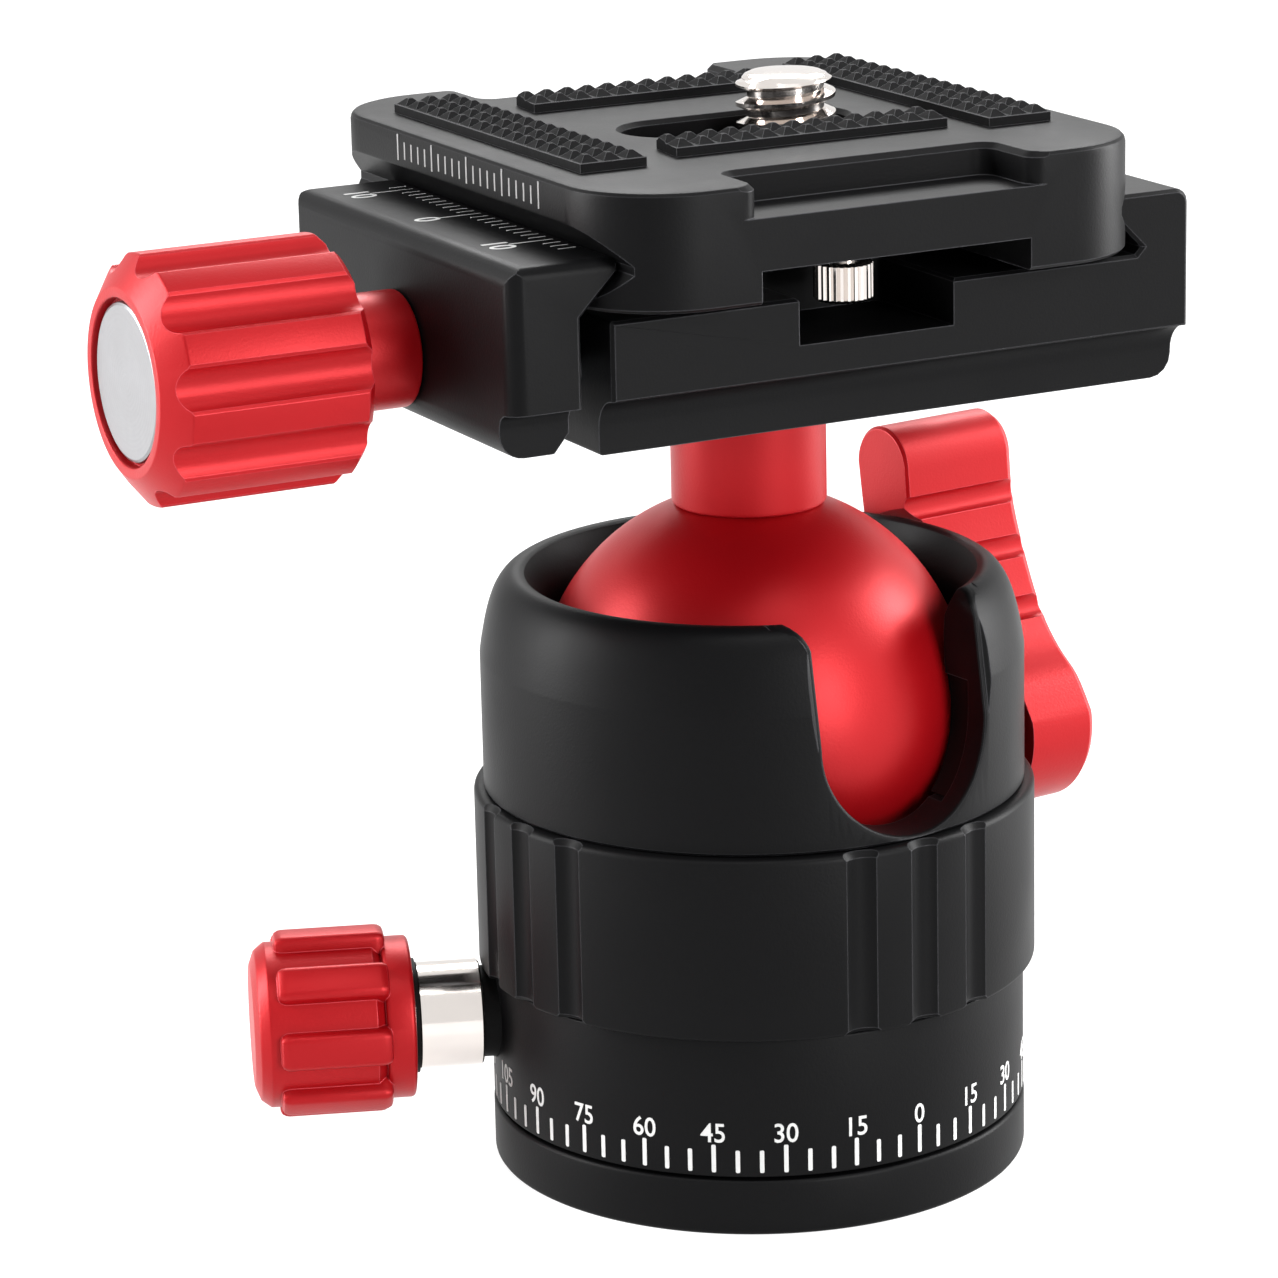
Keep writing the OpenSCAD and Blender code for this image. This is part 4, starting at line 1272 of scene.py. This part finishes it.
@dataclass
class Plate(SubAssembly):
    """The dovetail plate with its stop screws, printed ticks and camera screw."""

    half_w: float = 19.0
    front: float = -19.3
    back: float = 23.0
    corner: float = 6.5
    # Heights of the plate's edges, with the growth of its outline there
    edges: tuple[Flat, ...] = (
        (Z_PLATE, -0.2), (Z_PLATE + 0.2, 0), (Z_PLATE_TOP - 0.5, 0), (Z_PLATE_TOP - 0.24, -0.07),
        (Z_PLATE_TOP - 0.07, -0.24), (Z_PLATE_TOP, -0.5))
    groove_x: float = 16.9
    groove_top: float = 65.6
    recess_half: float = 9.3
    recess_len: float = 5.0
    recess_depth: float = 2.0
    channel_half: float = 9.3
    channel_top: float = 62.7
    slot_y: float = 1.1
    slot_half: float = 7.7
    slot_r: float = 3.275
    pocket_r: float = 5.7
    pocket_top: float = 64.3
    stop_x: float = 0.3
    stop_ys: Flat = (-12.0, 15.7)
    teeth: int = 26
    tooth_r: float = 1.85
    gap_r: float = 1.7
    shank_r: float = 1.1
    stop_low: float = 58.7
    stop_high: float = 61.2
    shank_top: float = 64.9
    screw_x: float = 3.7
    thread_r: float = 3.175
    pitch: float = 1.27
    turns: int = 4
    thread_top: float = 70.0
    root: float = 0.52
    crest: float = 0.12
    thread_turn: float = -30.0
    # Radius and height of the camera screw's head and shank, of the thread's ends, and of its dome
    screw_profile: tuple[Flat, ...] = (
        (0, 62.5), (5.2, 62.5), (5.4, 62.7), (5.4, 63.7), (5.2, 63.9), (2.45, 63.9), (2.45, 70.55),
        (2.3, 70.75), (1.6, 70.86), (0, 70.9))
    thread_ends: tuple[Flat, ...] = (
        (0, 66.9), (2.6, 66.9), (3.175, 67.4), (3.175, 70.05), (2.95, 70.4), (2.5, 70.68), (1.6, 70.86),
        (0, 70.9))
    dome: tuple[Flat, ...] = (
        (0, 70.2), (2.75, 70.2), (2.78, 70.4), (2.62, 70.6), (2.25, 70.76), (1.35, 70.86), (0, 70.9))
    scale_y: float = 0.65
    tick_half: float = 0.09
    ink: float = 0.02

    def recess_cutter(self, end: float, side: int) -> Piece:
        """Makes the cutter for the step in the top at one end, whose mouth has rounded corners.

        Args:
            end: Place of the end along Y.
            side: -1 for the front and 1 for the back.

        Returns:
            The cutter.
        """
        half, inner = self.recess_half, self.recess_len
        outline = both_sides([(half + 1.2, -2.0), *arc(half + 1.2, 1.2, 1.2, 270, 180, 6),
                              *arc(half - 1, inner - 1, 1, 0, 90, 6)])
        outline = [(x, end - side * y) for x, y in outline]
        if side > 0:
            outline.reverse()
        return swell("recess", outline, [(Z_PLATE_TOP - self.recess_depth, 0), (Z_PLATE_TOP - 0.35, 0),
                                         (Z_PLATE_TOP + 0.05, 0.4), (Z_PLATE_TOP + 1, 0.4)])

    def slot_outline(self, half: float, r: float) -> Outline:
        """Slot with round ends along X."""
        return [*arc(half - r, self.slot_y, r, -90, 90, 24), *arc(r - half, self.slot_y, r, 90, 270, 24)]

    def plate(self) -> None:
        """Raises the plate with its dovetail and rounded corners, and cuts its recesses, channel and slot."""
        half, low, high = self.half_w, self.front - 1, self.back + 1
        plate = swell("camera_plate", fillets([
            (-half, self.front, self.corner), (half, self.front, self.corner), (half, self.back, self.corner),
            (-half, self.back, self.corner)], 14), self.edges)
        across = both_sides(fillets([
            (half - 0.2, Z_PLATE, 0), (half, Z_PLATE + 0.2, 0.12), (self.groove_x, Z_TIP, 0),
            (self.groove_x, Z_TIP + 0.5, 0), (half, self.groove_top, 0.2), (half, Z_PLATE_TOP + 1, 0)], 3))
        carve(plate, prism("dovetail", across, low, high, Along.Y), Cut.KEEP)
        for end, side in ((self.front, -1), (self.back, 1)):
            carve(plate, self.recess_cutter(end, side))
        channel = [(-self.channel_half, Z_PLATE - 1), (self.channel_half, Z_PLATE - 1),
                   (self.channel_half, self.channel_top), (-self.channel_half, self.channel_top)]
        carve(plate, prism("channel", channel, low, high, Along.Y))
        slot = self.slot_outline(self.slot_half, self.slot_r)
        carve(plate, swell("slot", slot, [
            (62, 0), (Z_PLATE_TOP - 0.3, 0), (Z_PLATE_TOP + 0.05, 0.35), (Z_PLATE_TOP + 1.1, 0.35)]))
        pocket = self.slot_outline(self.slot_half - self.slot_r + self.pocket_r, self.pocket_r)
        carve(plate, prism("pocket", pocket, 62, self.pocket_top))
        self.finish(plate, "plate", self.finishes.black, "release_plate")

    def stop_screws(self) -> None:
        """Makes the two knurled stop screws that hang under the plate's ends."""
        knurl: Outline = []
        for i in range(self.teeth):
            for part, r in ((0, self.tooth_r), (0.4, self.tooth_r), (0.7, self.gap_r)):
                a = math.tau * (i + part) / self.teeth
                knurl.append((r * math.cos(a), r * math.sin(a)))
        shank = [(x * self.shank_r / math.hypot(x, y), y * self.shank_r / math.hypot(x, y)) for x, y in knurl]
        low, high = self.stop_low, self.stop_high
        screw = raise_solid("stop_screw", [
            (low, grow(knurl, -0.22)), (low + 0.22, knurl), (high - 0.2, knurl), (high, grow(knurl, -0.2)),
            (high, shank), (self.shank_top, shank)])
        pair = copied(screw, [shift(self.stop_x, y) for y in self.stop_ys], "stop_screw_pair")
        self.finish(pair, "plate", self.finishes.nickel, "stop_screws")

    def thread(self) -> Piece:
        """Winds the helical ridge of the camera screw's thread, about the Z axis.

        Returns:
            The ridge.
        """
        low, steps = self.thread_top - self.pitch * (self.turns - 0.5), 48
        profile = [(2.3, low - self.root), (self.thread_r, low - self.crest), (self.thread_r, low + self.crest),
                   (2.3, low + self.root)]
        ridge = ring_of("ridge", [Vector((r, 0, z)) for r, z in profile], filled=True)
        step = shift(z=self.pitch / steps) @ turned(360 / steps)
        for _ in range(self.turns * steps):
            extrude(ridge, lambda _, co: step @ co)
        tidy_mesh()
        return moved(ridge, turned(self.thread_turn))

    def camera_screw(self) -> None:
        """Turns the camera screw, winds its thread and domes its end."""
        screw = turn("tripod_screw", self.screw_profile, 96)
        carve(screw, carve(self.thread(), turn("ends", self.thread_ends, 96), Cut.KEEP), Cut.JOIN)
        carve(screw, turn("dome", self.dome, 96), Cut.JOIN)
        slot = [(-0.6, 61), (0.6, 61), (0.6, 63.3), (-0.6, 63.3)]
        carve(screw, prism("slot", slot, -7, 7, Along.X))
        place = shift(self.screw_x, self.slot_y)
        self.finish(moved(screw, place), "camera_screw", self.finishes.nickel, "camera_screw")

    def side_ticks(self) -> None:
        """Prints a tick each millimetre on the plate's left side."""
        prints = []
        for i in range(-10, 11):
            low, high = (66.1, 67.2) if i % 5 else (65.95, 67.6)
            y0, y1 = self.scale_y + i - self.tick_half, self.scale_y + i + self.tick_half
            outline = [(y0, low), (y1, low), (y1, high), (y0, high)]
            prints.append(prism("tick", outline, -self.half_w - self.ink, -self.half_w + self.ink, Along.X))
        self.finish(joined(prints, "plate_scale"), "plate", self.finishes.thin_ink)

    def build(self) -> None:
        """Builds the plate and all that it carries."""
        self.plate()
        self.stop_screws()
        self.camera_screw()
        self.side_ticks()


# ---------- studio ----------


@dataclass(frozen=True)
class SoftBox:
    """A studio lamp: angle from the front and height angle in degrees, sizes in metres."""

    name: str
    angle: float
    up: float
    distance: float
    width: float
    height: float
    watts: float

    def build(self, target: Vector) -> None:
        """Hangs the lamp.

        Args:
            target: Point at which it looks, in metres.
        """
        a, e = math.radians(self.angle), math.radians(self.up)
        way = Vector((math.sin(a) * math.cos(e), -math.cos(a) * math.cos(e), math.sin(e)))
        lamp = added(bpy.ops.object.light_add, self.name, type="AREA", location=target + way * self.distance)
        lamp.rotation_euler = way.to_track_quat("Z", "Y").to_euler()
        lamp.data.shape = "RECTANGLE"
        lamp.data.size = self.width
        lamp.data.size_y = self.height
        lamp.data.energy = self.watts


@dataclass
class Studio:
    """Camera, lamps, floor and background."""

    eye: tuple[float, float, float] = (-146.6, -270.7, 120.3)
    azimuth: float = -27.09
    pitch: float = 15.62
    roll: float = -1.31
    focal_px: float = 4939.0
    image_px: float = 1278.0
    centre_px: Flat = (0.5, 2.5)
    sensor: float = 36.0
    # How brightly the background lights the head, and how brightly it shows itself
    fill: float = 0.15
    white: float = 1.0
    # How much of the floor glows for the eye, so that it is white round a soft shadow
    glow_share: float = 0.7
    glow: float = 1.33
    target: tuple[float, float, float] = (0.0, 0.0, 0.035)
    boxes: tuple[SoftBox, ...] = (
        SoftBox("left_box", -120, 16, 0.42, 0.14, 0.40, 3.6),
        SoftBox("right_box", 80, 16, 0.42, 0.14, 0.40, 4.0),
        SoftBox("top_box", 153, 40, 0.5, 0.30, 0.16, 1.7),
        SoftBox("crown_box", -20, 70, 0.5, 0.30, 0.12, 0.8),
        SoftBox("front_box", 12, 14, 0.6, 0.18, 0.38, 3.2),
    )

    def camera(self) -> None:
        """Places the camera at the fitted view."""
        a, p, r = (math.radians(v) for v in (self.azimuth, self.pitch, self.roll))
        ahead = Vector((-math.sin(a) * math.cos(p), math.cos(a) * math.cos(p), -math.sin(p)))
        flat = Vector((math.cos(a), math.sin(a), 0))
        lift = flat.cross(ahead)
        right = flat * math.cos(r) + lift * math.sin(r)
        up = lift * math.cos(r) - flat * math.sin(r)
        place = Matrix((right, up, -ahead)).transposed().to_4x4()
        place.translation = Vector(self.eye) * MM
        camera = added(bpy.ops.object.camera_add, "Camera")
        camera.matrix_world = place
        camera.data.sensor_width = self.sensor
        camera.data.lens = self.focal_px / self.image_px * self.sensor
        camera.data.shift_x = -self.centre_px[0] / self.image_px
        camera.data.shift_y = self.centre_px[1] / self.image_px
        camera.data.clip_start = 0.01
        bpy.context.scene.camera = camera

    def shows(self, tree: Tree) -> Socket:
        """Tells rays for the eye from rays that only light.

        Args:
            tree: Node tree.

        Returns:
            1 where a ray comes from the camera, a mirror or glass, and 0 elsewhere.
        """
        path = add(tree, "LightPath").outputs
        some = add(tree, "Math", {"operation": "MAXIMUM"}, i0=path["Is Camera Ray"], i1=path["Is Glossy Ray"])
        return add(tree, "Math", {"operation": "MAXIMUM"}, i0=some.outputs[0],
                   i1=path["Is Transmission Ray"]).outputs[0]

    def background(self) -> None:
        """Makes a background that is white for the eye and a soft grey for the light."""
        world = bpy.data.worlds.new("studio")
        bpy.context.scene.world = world
        tree = emptied(world)
        strength = add(tree, "Mix", Factor=self.shows(tree), A=self.fill, B=self.white)
        light = add(tree, "Background", Color=(1, 1, 1, 1), Strength=strength.outputs[0])
        add(tree, "OutputWorld", Surface=light.outputs[0])

    def floor(self) -> None:
        """Lays a plain pale floor that keeps the shadow."""
        floor = added(bpy.ops.mesh.primitive_plane_add, "studio_floor", size=6)
        material = bpy.data.materials.new("pale_paper")
        tree = emptied(material)
        paper = add(tree, "BsdfDiffuse", Color=linear("#f4f4f4"))
        glow = add(tree, "Emission", Color=(1, 1, 1, 1), Strength=self.glow)
        part = add(tree, "Math", {"operation": "MULTIPLY"}, i0=self.shows(tree), i1=self.glow_share)
        mix = add(tree, "MixShader", i0=part.outputs[0], i1=paper.outputs[0], i2=glow.outputs[0])
        add(tree, "OutputMaterial", Surface=mix.outputs[0])
        floor.data.materials.append(material)

    def build(self) -> None:
        """Sets up the whole studio."""
        self.camera()
        self.background()
        self.floor()
        for box in self.boxes:
            box.build(Vector(self.target))
        bpy.context.scene.view_settings.view_transform = "Standard"


def main() -> None:
    """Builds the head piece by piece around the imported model."""
    logging.basicConfig(level=logging.INFO, format="%(name)s: %(message)s")
    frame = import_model()
    finishes = Finishes()
    finishes.dress_nodes(frame["nodes"], frame["record"])
    for part in (Base, PanBody, PanLock, Lever, Ball, Clamp, ClampKnob, Plate):
        part(finishes).build()
    Studio().build()


if __name__ == "__main__":
    main()
